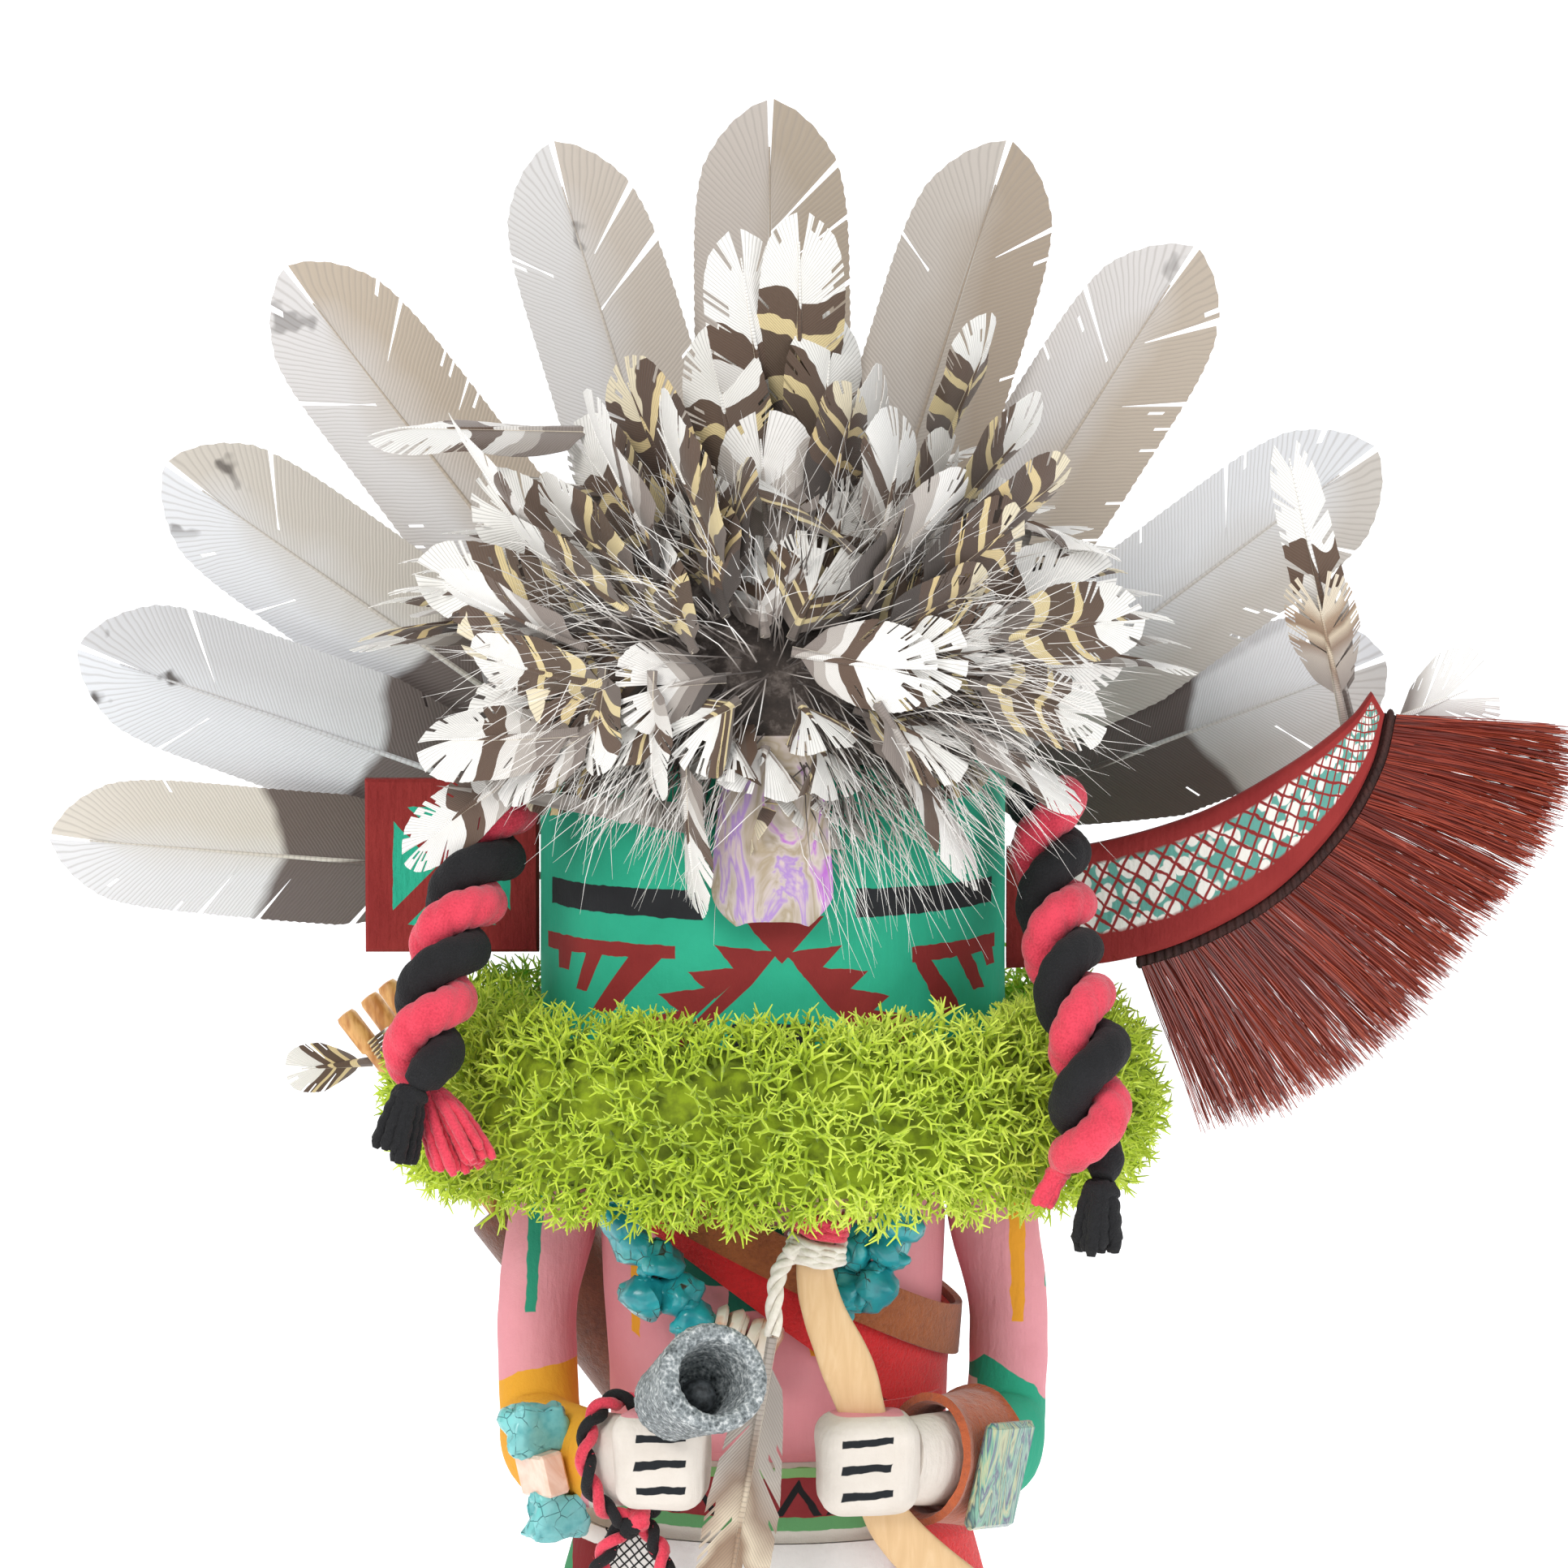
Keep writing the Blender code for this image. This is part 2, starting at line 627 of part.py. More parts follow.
def make_crown():
    """A bun of down on top of the mask, with hackle feathers fused into it."""
    material = finish("crown feathers", (0.45, 0.36, 0.27), 0.8)
    bm = bmesh.new()
    floor = MASK_TOP + FIT
    centre = Vector((0, -CROWN_CENTRE_BACK, floor + CROWN_BELLY))
    bmesh.ops.create_uvsphere(bm, u_segments=18, v_segments=8, radius=1,
                              matrix=Matrix.Rotation(math.radians(4), 4, "Z"))
    bmesh.ops.scale(bm, vec=(CROWN_RADIUS, CROWN_DEPTH / 2, CROWN_RISE - CROWN_BELLY), verts=bm.verts)
    bmesh.ops.translate(bm, vec=centre, verts=bm.verts)
    for corner, normal in ((Vector((0, 0, floor)), Vector((0, 0, -1))),
                           (Vector((0, CROWN_BACK, 0)), Vector((0, 1, 0)))):
        cut = bmesh.ops.bisect_plane(bm, geom=bm.verts[:] + bm.edges[:] + bm.faces[:], dist=1e-6,
                                     plane_co=corner, plane_no=normal, clear_outer=True)
        bmesh.ops.holes_fill(bm, edges=[e for e in cut["geom_cut"] if isinstance(e, bmesh.types.BMEdge)])
    crown = add_piece("crown_plume", bm, material)
    grow_by_all(crown, make_hackles(material))
    slot = bmesh.new()
    size = Vector((SHELL_WIDTH + 2 * FIT, SHELL_THICKNESS + 2 * FIT, SHELL_LENGTH))
    middle = Vector((0, SHELL_DEPTH, SHELL_TOP + FIT - SHELL_LENGTH / 2))
    bmesh.ops.create_cube(slot, size=1, matrix=Matrix.Translation(middle) @ Matrix.Diagonal((*size, 1)))
    combine(crown, add_piece("shell slot", slot, material), "DIFFERENCE")


def make_forehead_shell():
    """A tongue of pearl shell that hangs over the brow from under the crown."""
    outline = []
    low = SHELL_TOP - SHELL_LENGTH
    corner = SHELL_WIDTH * 0.32
    for side_sign in (-1, 1):
        arc = []
        for i in range(4):
            angle = math.pi / 2 * i / 3
            arc.append((side_sign * (SHELL_WIDTH / 2 - corner + corner * math.sin(angle)),
                        low + corner - corner * math.cos(angle)))
        arc.append((side_sign * SHELL_WIDTH * 0.24, SHELL_TOP))
        outline += arc if side_sign > 0 else arc[::-1]
    flat_board("forehead_shell", outline, SHELL_THICKNESS,
               finish("pearl shell", (0.50, 0.44, 0.42), 0.2), edge=0.7 * mm, tilt_y=SHELL_DEPTH)


# Moss and ropes

# The ruff's section: share of the way out from the mask, and share of its height
MOSS_SECTION = ((0.0, 0.92), (0.36, 1.0), (0.66, 0.95), (0.88, 0.78), (1.0, 0.54), (0.98, 0.30),
                (0.86, 0.10), (0.66, 0.0), (0.46, 0.10), (0.40, 0.38), (0.0, 0.45))
MOSS_STEPS = 30


def make_moss_ruff():
    """A collar of lichen round the foot of the mask, with a knobbly outline."""
    bm = bmesh.new()
    inner = BESIDE_MASK / math.cos(math.pi / MOSS_STEPS)
    rings = []
    for i in range(MOSS_STEPS):
        angle = 2 * math.pi * i / MOSS_STEPS
        ring = []
        for share, rise in MOSS_SECTION:
            lump = noise.noise(Vector((3 * math.cos(angle), 3 * math.sin(angle), 4 * rise + share)))
            squeeze = 1 - 0.07 * (0.5 + lump) * share
            radius = inner + (MOSS_RADIUS - inner) * share * squeeze
            height = MASK_BOTTOM - MOSS_DROP + MOSS_HEIGHT * rise
            ring.append(Vector((radius * math.cos(angle), radius * math.sin(angle), height)))
        rings.append(ring)
    loft(bm, rings, closed=True)
    add_piece("moss_ruff", bm, finish("reindeer moss", (0.35, 0.50, 0.04), 0.9))


# Routes of the two ropes, from under the crown down over the moss
ROPE_ROUTES = {
    "right": (
        (-0.0475, -0.0205, 0.2820), (-0.0486, -0.0258, 0.2750), (-0.0512, -0.0322, 0.2680),
        (-0.0543, -0.0386, 0.2605), (-0.0568, -0.0445, 0.2525), (-0.0588, -0.0494, 0.2445),
        (-0.0600, -0.0525, 0.2385), (-0.0603, -0.0540, 0.2330),
    ),
    "left": (
        (0.0480, -0.0200, 0.2820), (0.0485, -0.0215, 0.2735), (0.0495, -0.0280, 0.2640),
        (0.0500, -0.0350, 0.2570), (0.0522, -0.0450, 0.2476), (0.0545, -0.0520, 0.2398),
        (0.0545, -0.0560, 0.2318), (0.0545, -0.0565, 0.2240), (0.0532, -0.0560, 0.2185),
    ),
}


def even_points(route, count):
    """Points at even distances along the smooth curve through a route."""
    fine = np.array(smooth_rows(route, 200))
    lengths = np.concatenate(([0], np.cumsum(np.linalg.norm(np.diff(fine, axis=0), axis=1))))
    places = np.linspace(0, lengths[-1], count)
    return [Vector([np.interp(place, lengths, fine[:, axis]) for axis in range(3)]) for place in places]


def strand_points(side_name, phase):
    """The line that one of a rope's two strands follows round the rope's route."""
    points = even_points(ROPE_ROUTES[side_name], STRAND_STEPS + 1)
    turn = 2 * math.pi * ROPE_TURNS[side_name] / STRAND_STEPS
    offset = (STRAND_DIAMETER / 2 + FIT) / math.cos(turn / 2)
    line = []
    for i, (point, _, side, up) in enumerate(frames_along(points, Vector((1, 0, 0)))):
        angle = phase + turn * i
        line.append(point + (side * math.cos(angle) + up * math.sin(angle)) * offset)
    return line


def make_strand(name, points, material):
    curve = bpy.data.curves.new(name, "CURVE")
    curve.dimensions = "3D"
    curve.bevel_depth = STRAND_DIAMETER / 2
    curve.bevel_resolution = 1
    curve.use_fill_caps = True
    spline = curve.splines.new("POLY")
    spline.points.add(len(points) - 1)
    for target, point in zip(spline.points, points):
        target.co = (*point, 1)
    curve.materials.append(material)
    obj = bpy.data.objects.new(name, curve)
    doll.objects.link(obj)


TUFT_SWELL = ((0.0, 0.55), (0.18, 1.0), (0.5, 0.9), (0.8, 1.0), (1.0, 0.7))


def tuft(name, strand, along, length, start_radius, end_radius, material):
    """A knot or tassel that carries on from the end of a strand."""
    bm = bmesh.new()
    along = along.normalized()
    leaving = (strand[-1] - strand[-2]).normalized()
    tilt = leaving.cross(along).length
    centre = strand[-1] + leaving * FIT + along * tilt * max(STRAND_DIAMETER / 2, start_radius * TUFT_SWELL[0][1])
    points = [centre + along * length * share for share, _ in TUFT_SWELL]
    rings = []
    for frame, (share, swell) in zip(frames_along(points, Vector((0, 1, 0))), TUFT_SWELL):
        radius = (start_radius + (end_radius - start_radius) * share) * swell
        rings.append(ellipse_at(frame, radius, radius, 9))
    loft(bm, rings)
    add_piece(name, bm, material)


# Ends of the strands: which way they hang, how long, and how thick at the start and the end
ROPE_ENDS = {
    "right_rope_black": (Vector((-0.05, 0.02, -1)), 13 * mm, 4.2 * mm, 4.6 * mm),
    "right_rope_red": (Vector((0.62, -0.34, -1)), 16 * mm, 3.4 * mm, 6.6 * mm),
    "left_rope_black": (Vector((-0.05, 0, -1)), 13 * mm, 5.4 * mm, 5.6 * mm),
    "left_rope_red": (Vector((-0.62, 0, -1)), 8 * mm, 2.8 * mm, 2.6 * mm),
}


def make_ropes():
    """Two ropes of red and black wool, each of two strands with a tuft at the end."""
    yarns = (("red", (0.62, 0.015, 0.03), 0.0), ("black", (0.008, 0.008, 0.009), math.pi))
    for side_name in ROPE_ROUTES:
        for color_name, color, ahead in yarns:
            name = f"{side_name}_rope_{color_name}"
            strand = strand_points(side_name, ROPE_PHASE[side_name] + ahead)
            make_strand(name, strand, finish(f"{side_name} {color_name} yarn", color, 0.9))
            tuft(f"{name}_end", strand, *ROPE_ENDS[name], finish(f"{side_name} {color_name} tuft", color, 0.9))


# Clothing and jewellery

BANDOLIER_HEIGHT = at_height(0.848)
BANDOLIER_SLOPE = -0.55


def bandolier_height(angle):
    """Height of the bandolier's middle line round the body."""
    return BANDOLIER_HEIGHT + BANDOLIER_SLOPE * TORSO_WIDTH / 2 * math.cos(angle)


def body_patch(bm, columns, gap, thickness, rows=4, closed=False):
    """Cloth that lies on the body: columns of (angle, low height, high height)."""
    rings = []
    for angle, low, high in columns:
        heights = np.linspace(low, high, rows)
        inside = [on_body(angle, height, gap) for height in heights]
        outside = [on_body(angle, height, gap + thickness) for height in heights]
        rings.append(inside + outside[::-1])
    loft(bm, rings, closed)


def make_sash():
    """A red felt sash round the body under the strap, with a tail at the left hip."""
    material = finish("red felt", (0.55, 0.005, 0.01), 0.95)
    band = bmesh.new()
    columns = []
    for i in range(BODY_SIDES):
        angle = 2 * math.pi * i / BODY_SIDES
        middle = bandolier_height(angle)
        spread = (1 + math.cos(angle)) / 2
        drop = STRAP_WIDTH / 2 + 1.5 * mm + (SASH_WIDTH - 2 * mm) * spread
        columns.append((angle, middle - drop, middle + STRAP_WIDTH / 2 - 1 * mm))
    body_patch(band, columns, CLOTH_GAP, SASH_THICKNESS, closed=True)
    sash = add_piece("red_sash", band, material)
    tail = bmesh.new()
    step = 2 * math.pi / BODY_SIDES
    knee = at_height(0.40)
    breaks = [at_height(section[0]) for section in BODY_SECTIONS if at_height(section[0]) > knee]
    top = bandolier_height(0) - STRAP_WIDTH / 2 - SASH_WIDTH / 2
    heights = [knee] + [height for height in breaks if height < top - 1 * mm] + [top]
    rings = []
    steps = (1.08, 2.0, 2.92)
    for height in heights:
        out = CLOTH_GAP + 0.1 * mm
        inside = [on_body(-step * k, height, out) for k in steps]
        outside = [on_body(-step * k, height, out + SASH_THICKNESS - 0.25 * mm) for k in steps]
        rings.append(inside + outside[::-1])
    loft(tail, rings)
    combine(sash, add_piece("sash tail", tail, material), "UNION")


def make_strap():
    """A suede bandolier over the sash, from the right shoulder to the left hip."""
    bm = bmesh.new()
    columns = []
    for i in range(BODY_SIDES):
        angle = 2 * math.pi * i / BODY_SIDES
        middle = bandolier_height(angle)
        columns.append((angle, middle - STRAP_WIDTH / 2, middle + STRAP_WIDTH / 2))
    body_patch(bm, columns, 2 * CLOTH_GAP + SASH_THICKNESS, STRAP_THICKNESS, closed=True)
    add_piece("suede_strap", bm, finish("brown suede strap", (0.17, 0.06, 0.03), 0.95))


CUFF_SIDES = 12


def sleeve(bm, frames, thickness, sides=CUFF_SIDES, slack=1.05):
    """A wall round a stretch of arm or stick: (frame, half across, half up)."""
    outer = [ellipse_at(frame, across * slack + FIT + thickness, up * slack + FIT + thickness, sides)
             for frame, across, up in frames]
    inner = [ellipse_at(frame, across * slack + FIT, up * slack + FIT, sides)
             for frame, across, up in frames]
    loft(bm, outer + inner[::-1], closed=True)


def forearm_stretch(side_sign, start, length, count=3):
    """Frames along the forearm, from a distance behind the wrist back to the elbow."""
    frames = arm_frames(side_sign, 121)
    wrist = frames[-1][0][0]
    chosen = []
    for distance in np.linspace(start + length, start, count):
        chosen.append(min(frames[60:], key=lambda row: abs((row[0][0] - wrist).length - distance)))
    return chosen


def make_cuff():
    """A suede cuff on the left forearm, with a plate of abalone on its outer side."""
    stretch = forearm_stretch(1, 6.5 * mm, CUFF_LENGTH)
    bm = bmesh.new()
    sleeve(bm, stretch, CUFF_THICKNESS)
    add_piece("suede_cuff", bm, finish("rust suede", (0.25, 0.06, 0.02), 0.95))
    frame, across, up = stretch[1]
    point, direction, side, top = frame
    length = 15 * mm
    height = 2 * (up + CUFF_THICKNESS) * 0.9
    thickness = 2.4 * mm
    reach = across + 2 * FIT + CUFF_THICKNESS + thickness / 2
    turn = Matrix((direction, side, top)).transposed().to_4x4()
    place = Matrix.Translation(point + side * reach) @ turn @ Matrix.Diagonal((length, thickness, height, 1))
    plate = bmesh.new()
    made = bmesh.ops.create_cube(plate, size=1, matrix=place)
    edges = list({edge for vert in made["verts"] for edge in vert.link_edges})
    bmesh.ops.bevel(plate, geom=edges, offset=0.9 * mm, segments=1, profile=0.5,
                    affect="EDGES", material=-1)
    add_piece("abalone_plate", plate, finish("abalone", (0.25, 0.34, 0.27), 0.2))


def nugget(bm, centre, size, seed):
    """A tumbled stone: a lumpy ball of twenty faces."""
    made = bmesh.ops.create_icosphere(bm, subdivisions=1, radius=0.5)
    turn = Matrix.Rotation(seed * 1.7, 4, "Z") @ Matrix.Rotation(seed * 0.9, 4, "X")
    for vert in made["verts"]:
        lump = 1 + 0.16 * math.sin(5 * vert.co.x / 0.5 + seed) * math.cos(4 * vert.co.z / 0.5 + 2 * seed)
        vert.co = Vector(centre) + turn @ Vector((vert.co.x * size[0], vert.co.y * size[1],
                                                  vert.co.z * size[2])) * lump


def make_bracelet():
    """Two rough turquoises with a square of pink shell between, on the right forearm."""
    stretch = forearm_stretch(-1, 12 * mm, 10 * mm, 3)
    frame, across, _ = stretch[1]
    point, direction, side, top = frame
    out = -side
    thickness = 4.6 * mm
    length = 10 * mm
    height = 7.6 * mm
    names = (("bracelet_turquoise_upper", 1, (0.16, 0.55, 0.55)),
             ("bracelet_shell", 0, (0.80, 0.60, 0.50)),
             ("bracelet_turquoise_lower", -1, (0.16, 0.55, 0.55)))
    for name, step, color in names:
        lift = -0.10 * abs(step) * across
        centre = point + out * (across + 2 * FIT + thickness / 2 + lift) + top * step * (height + FIT)
        turn = Matrix((direction, out, top)).transposed().to_4x4()
        place = Matrix.Translation(centre) @ turn @ Matrix.Diagonal((length, thickness, height, 1))
        bm = bmesh.new()
        made = bmesh.ops.create_cube(bm, size=1, matrix=place)
        edges = list({edge for vert in made["verts"] for edge in vert.link_edges})
        bevel = 0.5 * mm if step == 0 else 1.5 * mm
        bmesh.ops.bevel(bm, geom=edges, offset=bevel, segments=1, profile=0.5,
                        affect="EDGES", material=-1)
        add_piece(name, bm, finish(name.replace("_", " "), color, 0.4))


def make_wrist_yarn():
    """A twisted cord tied round the right wrist, with its ends hanging."""
    material = finish("red and black yarn", (0.30, 0.01, 0.015), 0.95)
    stretch = forearm_stretch(-1, 4.5 * mm, 1 * mm, 2)
    frame, across, up = stretch[0]
    radius = YARN_DIAMETER / 2
    ring = bmesh.new()
    rings = []
    point, direction, side, top = frame
    for i in range(14):
        angle = 2 * math.pi * i / 14
        out = side * (across + 2 * FIT + radius) * math.cos(angle) + top * (up + 2 * FIT + radius) * math.sin(angle)
        outward = out.normalized()
        rings.append([point + out * 1.04 + outward * radius * math.cos(2 * math.pi * k / 5)
                      + direction * radius * math.sin(2 * math.pi * k / 5) for k in range(5)])
    loft(ring, rings, closed=True)
    yarn = add_piece("wrist_yarn", ring, material)
    low = point - top * (up + 2 * FIT + radius) * 1.04
    ends = []
    for across_drop, fall in ((-7 * mm, 18 * mm), (5.5 * mm, 22 * mm)):
        points = [low, low + Vector((across_drop * 0.7, -2.5 * mm, -fall * 0.22)),
                  low + Vector((across_drop, -3 * mm, -fall * 0.6)),
                  low + Vector((across_drop * 0.9, -2.5 * mm, -fall))]
        end = bmesh.new()
        tube(end, [Vector(row) for row in smooth_rows(points, 6)], radius * 0.92, 6)
        ends.append(add_piece(f"yarn end {len(ends) + 1}", end, material))
    grow_by_all(yarn, ends)


# Nuggets down each side of the necklace, as (across, up from the neck's foot) places
NECKLACE_DEPTH = TORSO_DEPTH / 2 + 2 * CLOTH_GAP + SASH_THICKNESS + STRAP_THICKNESS + NUGGET_SIZE * 0.4
NECKLACE_TOP = at_height(0.955)
NECKLACE_UNIT = TORSO_WIDTH / 62
RIGHT_NUGGETS = ((-27.0, -15.5), (-24.0, -20.5), (-20.0, -23.5), (-22.5, -30.0), (-17.0, -29.5), (-14.0, -34.0))
LEFT_NUGGETS = ((21.5, -16.5), (20.0, -21.5), (14.8, -21.0), (18.0, -27.5), (13.0, -28.5), (10.3, -33.0))


def make_necklace():
    """Turquoise nuggets on a string each side, with shell discs hanging between."""
    turquoise = (0.03, 0.42, 0.45)
    for name, places, side_sign in (("necklace_right", RIGHT_NUGGETS, -1), ("necklace_left", LEFT_NUGGETS, 1)):
        material = finish(name.replace("_", " "), turquoise, 0.35)
        line = [Vector((side_sign * TORSO_WIDTH * 0.30, -NECKLACE_DEPTH * 0.80, NECKLACE_TOP))]
        line += [Vector((x * NECKLACE_UNIT, -NECKLACE_DEPTH, NECKLACE_TOP + z * mm)) for x, z in places]
        string = bmesh.new()
        tube(string, line, NECKLACE_STRING / 2, 6, Vector((0, 1, 0)))
        strand = add_piece(name, string, material)
        stones = []
        for i, point in enumerate(line[1:]):
            size = [NUGGET_SIZE * (1 + 0.14 * math.sin(2.3 * i + k)) for k in range(3)]
            stone = bmesh.new()
            nugget(stone, point + Vector((0.21, 0, 0.13)) * mm, size, i + side_sign)
            stones.append(add_piece(f"{name} stone {i + 1}", stone, material))
        grow_by_all(strand, stones)
    material = finish("cream shell", (0.80, 0.66, 0.52), 0.4)
    discs = []
    beside = RIGHT_NUGGETS[-1][0] * NECKLACE_UNIT + 4.5 * mm
    start = Vector((beside, -NECKLACE_DEPTH, NECKLACE_TOP - 35.5 * mm))
    lean = Vector((0.94, 0, -0.34)).normalized()
    for i in range(6):
        point = start + lean * DISC_THICKNESS * 0.93 * i
        turn = lean.to_track_quat("Z", "Y").to_matrix().to_4x4()
        radius = DISC_DIAMETER / 2 * (0.9 + 0.1 * math.sin(1.9 * i + 0.5))
        disc = bmesh.new()
        bmesh.ops.create_cone(disc, cap_ends=True, segments=11, radius1=radius * 0.86, radius2=radius,
                              depth=DISC_THICKNESS, matrix=Matrix.Translation(point) @ turn)
        discs.append(add_piece(f"shell disc {i + 1}", disc, material))
    first = bmesh.new()
    tube(first, [start - lean * DISC_THICKNESS * 0.3, start + lean * DISC_THICKNESS * 5], NECKLACE_STRING / 2, 5,
         Vector((0, 1, 0)))
    grow_by_all(add_piece("shell_discs", first, material), discs)


# Things held

# The stick's middle line and width, from under the moss down through the left fist:
# across, forwards and up from the middle of the fist, then width
STICK_ROWS = (
    (-6.5, -6.0, 56.0, 4.8), (-6.9, -5.0, 46.5, 5.2), (-8.3, -4.2, 41.0, 5.6), (-9.3, -3.4, 34.5, 6.4),
    (-7.6, -2.6, 26.5, 7.6), (-3.6, -1.8, 17.0, 9.2), (-0.9, -1.0, 8.5, 8.0), (0.6, -0.4, 0.0, 7.2),
    (3.2, -0.4, -9.6, 7.8), (9.4, -0.6, -17.0, 8.8), (17.0, -1.2, -23.0, 8.6), (23.5, -1.6, -26.5, 5.0),
)


# A round wrap clears the corners of the stick's section by this much
STICK_SLACK = 1.30


def stick_frames(count):
    centre = fist_centre(1)
    rows = smooth_rows(STICK_ROWS, count)
    points = [centre + Vector((x, y + 1.4, z)) * mm for x, y, z, _ in rows]
    frames = []
    for i, point in enumerate(points):
        direction = (points[min(i + 1, len(points) - 1)] - points[max(i - 1, 0)]).normalized()
        through = (Vector((0, 1, 0)) - direction * direction.y).normalized()
        frames.append(((point, direction, direction.cross(through), through), rows[i][3] / 2 * mm))
    return frames


def stick_rings(bm, count, grow):
    rings = []
    for (point, _, side, through), half in stick_frames(count):
        wide = half + grow
        thick = STICK_THICKNESS / 2 + grow
        corners = ((1, 0.45), (0.72, 1), (-0.72, 1), (-1, 0.45), (-1, -0.45), (-0.72, -1), (0.72, -1), (1, -0.45))
        rings.append([point + side * wide * a + through * thick * b for a, b in corners])
    loft(bm, rings)


def make_stick(arm):
    """A flat curved throwing stick that passes through the left fist."""
    bm = bmesh.new()
    stick_rings(bm, 14, 0)
    add_piece("throwing_stick", bm, finish("pale wood", (0.62, 0.42, 0.24), 0.65))
    slot = bmesh.new()
    stick_rings(slot, 14, FIT)
    combine(arm, add_piece("stick slot", slot, arm.data.materials[0]), "DIFFERENCE")


def stick_stretch(first, last):
    """Frames of a stretch of the stick between two shares of its length."""
    frames = stick_frames(101)
    chosen = frames[int(first * 100):int(last * 100) + 1]
    picked = [chosen[0], chosen[len(chosen) // 2], chosen[-1]]
    return [((point, direction, side, through), half, STICK_THICKNESS / 2)
            for (point, direction, side, through), half in picked]


def make_stick_wraps():
    """Red yarn and white cotton bound round the stick, with a cotton tail."""
    red = bmesh.new()
    sleeve(red, stick_stretch(0.125, 0.185), 1.3 * mm, 10, STICK_SLACK)
    add_piece("stick_red_yarn", red, finish("stick red yarn", (0.62, 0.015, 0.03), 0.9))
    white = finish("white cotton", (0.72, 0.67, 0.58), 0.9)
    wrap = bmesh.new()
    stretch = stick_stretch(0.200, 0.262)
    sleeve(wrap, stretch, 1.6 * mm, 10, STICK_SLACK)
    string = add_piece("stick_string", wrap, white)
    point = stretch[1][0][0]
    start = point + Vector((-5.0, -0.5, -0.5)) * mm
    tail = bmesh.new()
    route = [start, start + Vector((-2.2, -1.6, -4.0)) * mm, start + Vector((-2.2, -2.0, -9.0)) * mm,
             start + Vector((-2.6, -2.2, -14.0)) * mm]
    tube(tail, route, 1.7 * mm, 6)
    combine(string, add_piece("string tail", tail, white), "UNION")
    quill_top = route[-1] + Vector((0, 0, -FIT - 0.1 * mm))
    feather("string_feather", quill_top, Vector((-0.17, -0.02, -1)), Vector((0, -1, 0)), 3 * mm, 62 * mm,
            12 * mm, finish("barred feather", (0.45, 0.33, 0.22), 0.7), shape=SPLAYED_SHAPE, bend=-2 * mm)


BELL_AXIS = Vector((0.32, -0.881, 0.336)).normalized()


def make_bell():
    """A hollow stone bell leaning on the right fist, with a ball inside."""
    centre = fist_centre(-1)
    size = FIST_SIZES[-1]
    end = centre + Vector((0.08 * size.x, -size.y / 2 - 0.5 * mm, size.z / 2 + 2.2 * mm))
    steps = 14
    rows = ((0.0, BELL_END_RADIUS * 0.80), (1.4 * mm, BELL_END_RADIUS), (BELL_LENGTH - 1.2 * mm, BELL_MOUTH_RADIUS),
            (BELL_LENGTH, BELL_MOUTH_RADIUS - 1.2 * mm), (BELL_LENGTH, BELL_BORE_RADIUS),
            (BELL_LENGTH - BELL_BORE_DEPTH * 0.7, BELL_BORE_RADIUS * 0.82),
            (BELL_LENGTH - BELL_BORE_DEPTH, BELL_BORE_RADIUS * 0.35))
    side = Vector((1, 0, 0))
    side = (side - BELL_AXIS * side.dot(BELL_AXIS)).normalized()
    up = BELL_AXIS.cross(side)
    bm = bmesh.new()
    rings = []
    for distance, radius in rows:
        frame = (end + BELL_AXIS * distance, BELL_AXIS, side, up)
        rings.append(ellipse_at(frame, radius, radius, steps))
    loft(bm, rings)
    add_piece("stone_bell", bm, finish("grey stone", (0.25, 0.27, 0.29), 0.85))
    ball = bmesh.new()
    bmesh.ops.create_uvsphere(ball, u_segments=8, v_segments=5, radius=CLAPPER_RADIUS)
    depth = BELL_LENGTH - BELL_BORE_DEPTH * 0.62
    room = BELL_BORE_RADIUS * 0.82 - CLAPPER_RADIUS - FIT
    down = up if up.z < 0 else -up
    bmesh.ops.translate(ball, verts=ball.verts, vec=end + BELL_AXIS * depth + down * room)
    add_piece("bell_clapper", ball, finish("dark stone", (0.05, 0.055, 0.06), 0.7))


# Quiver on the back

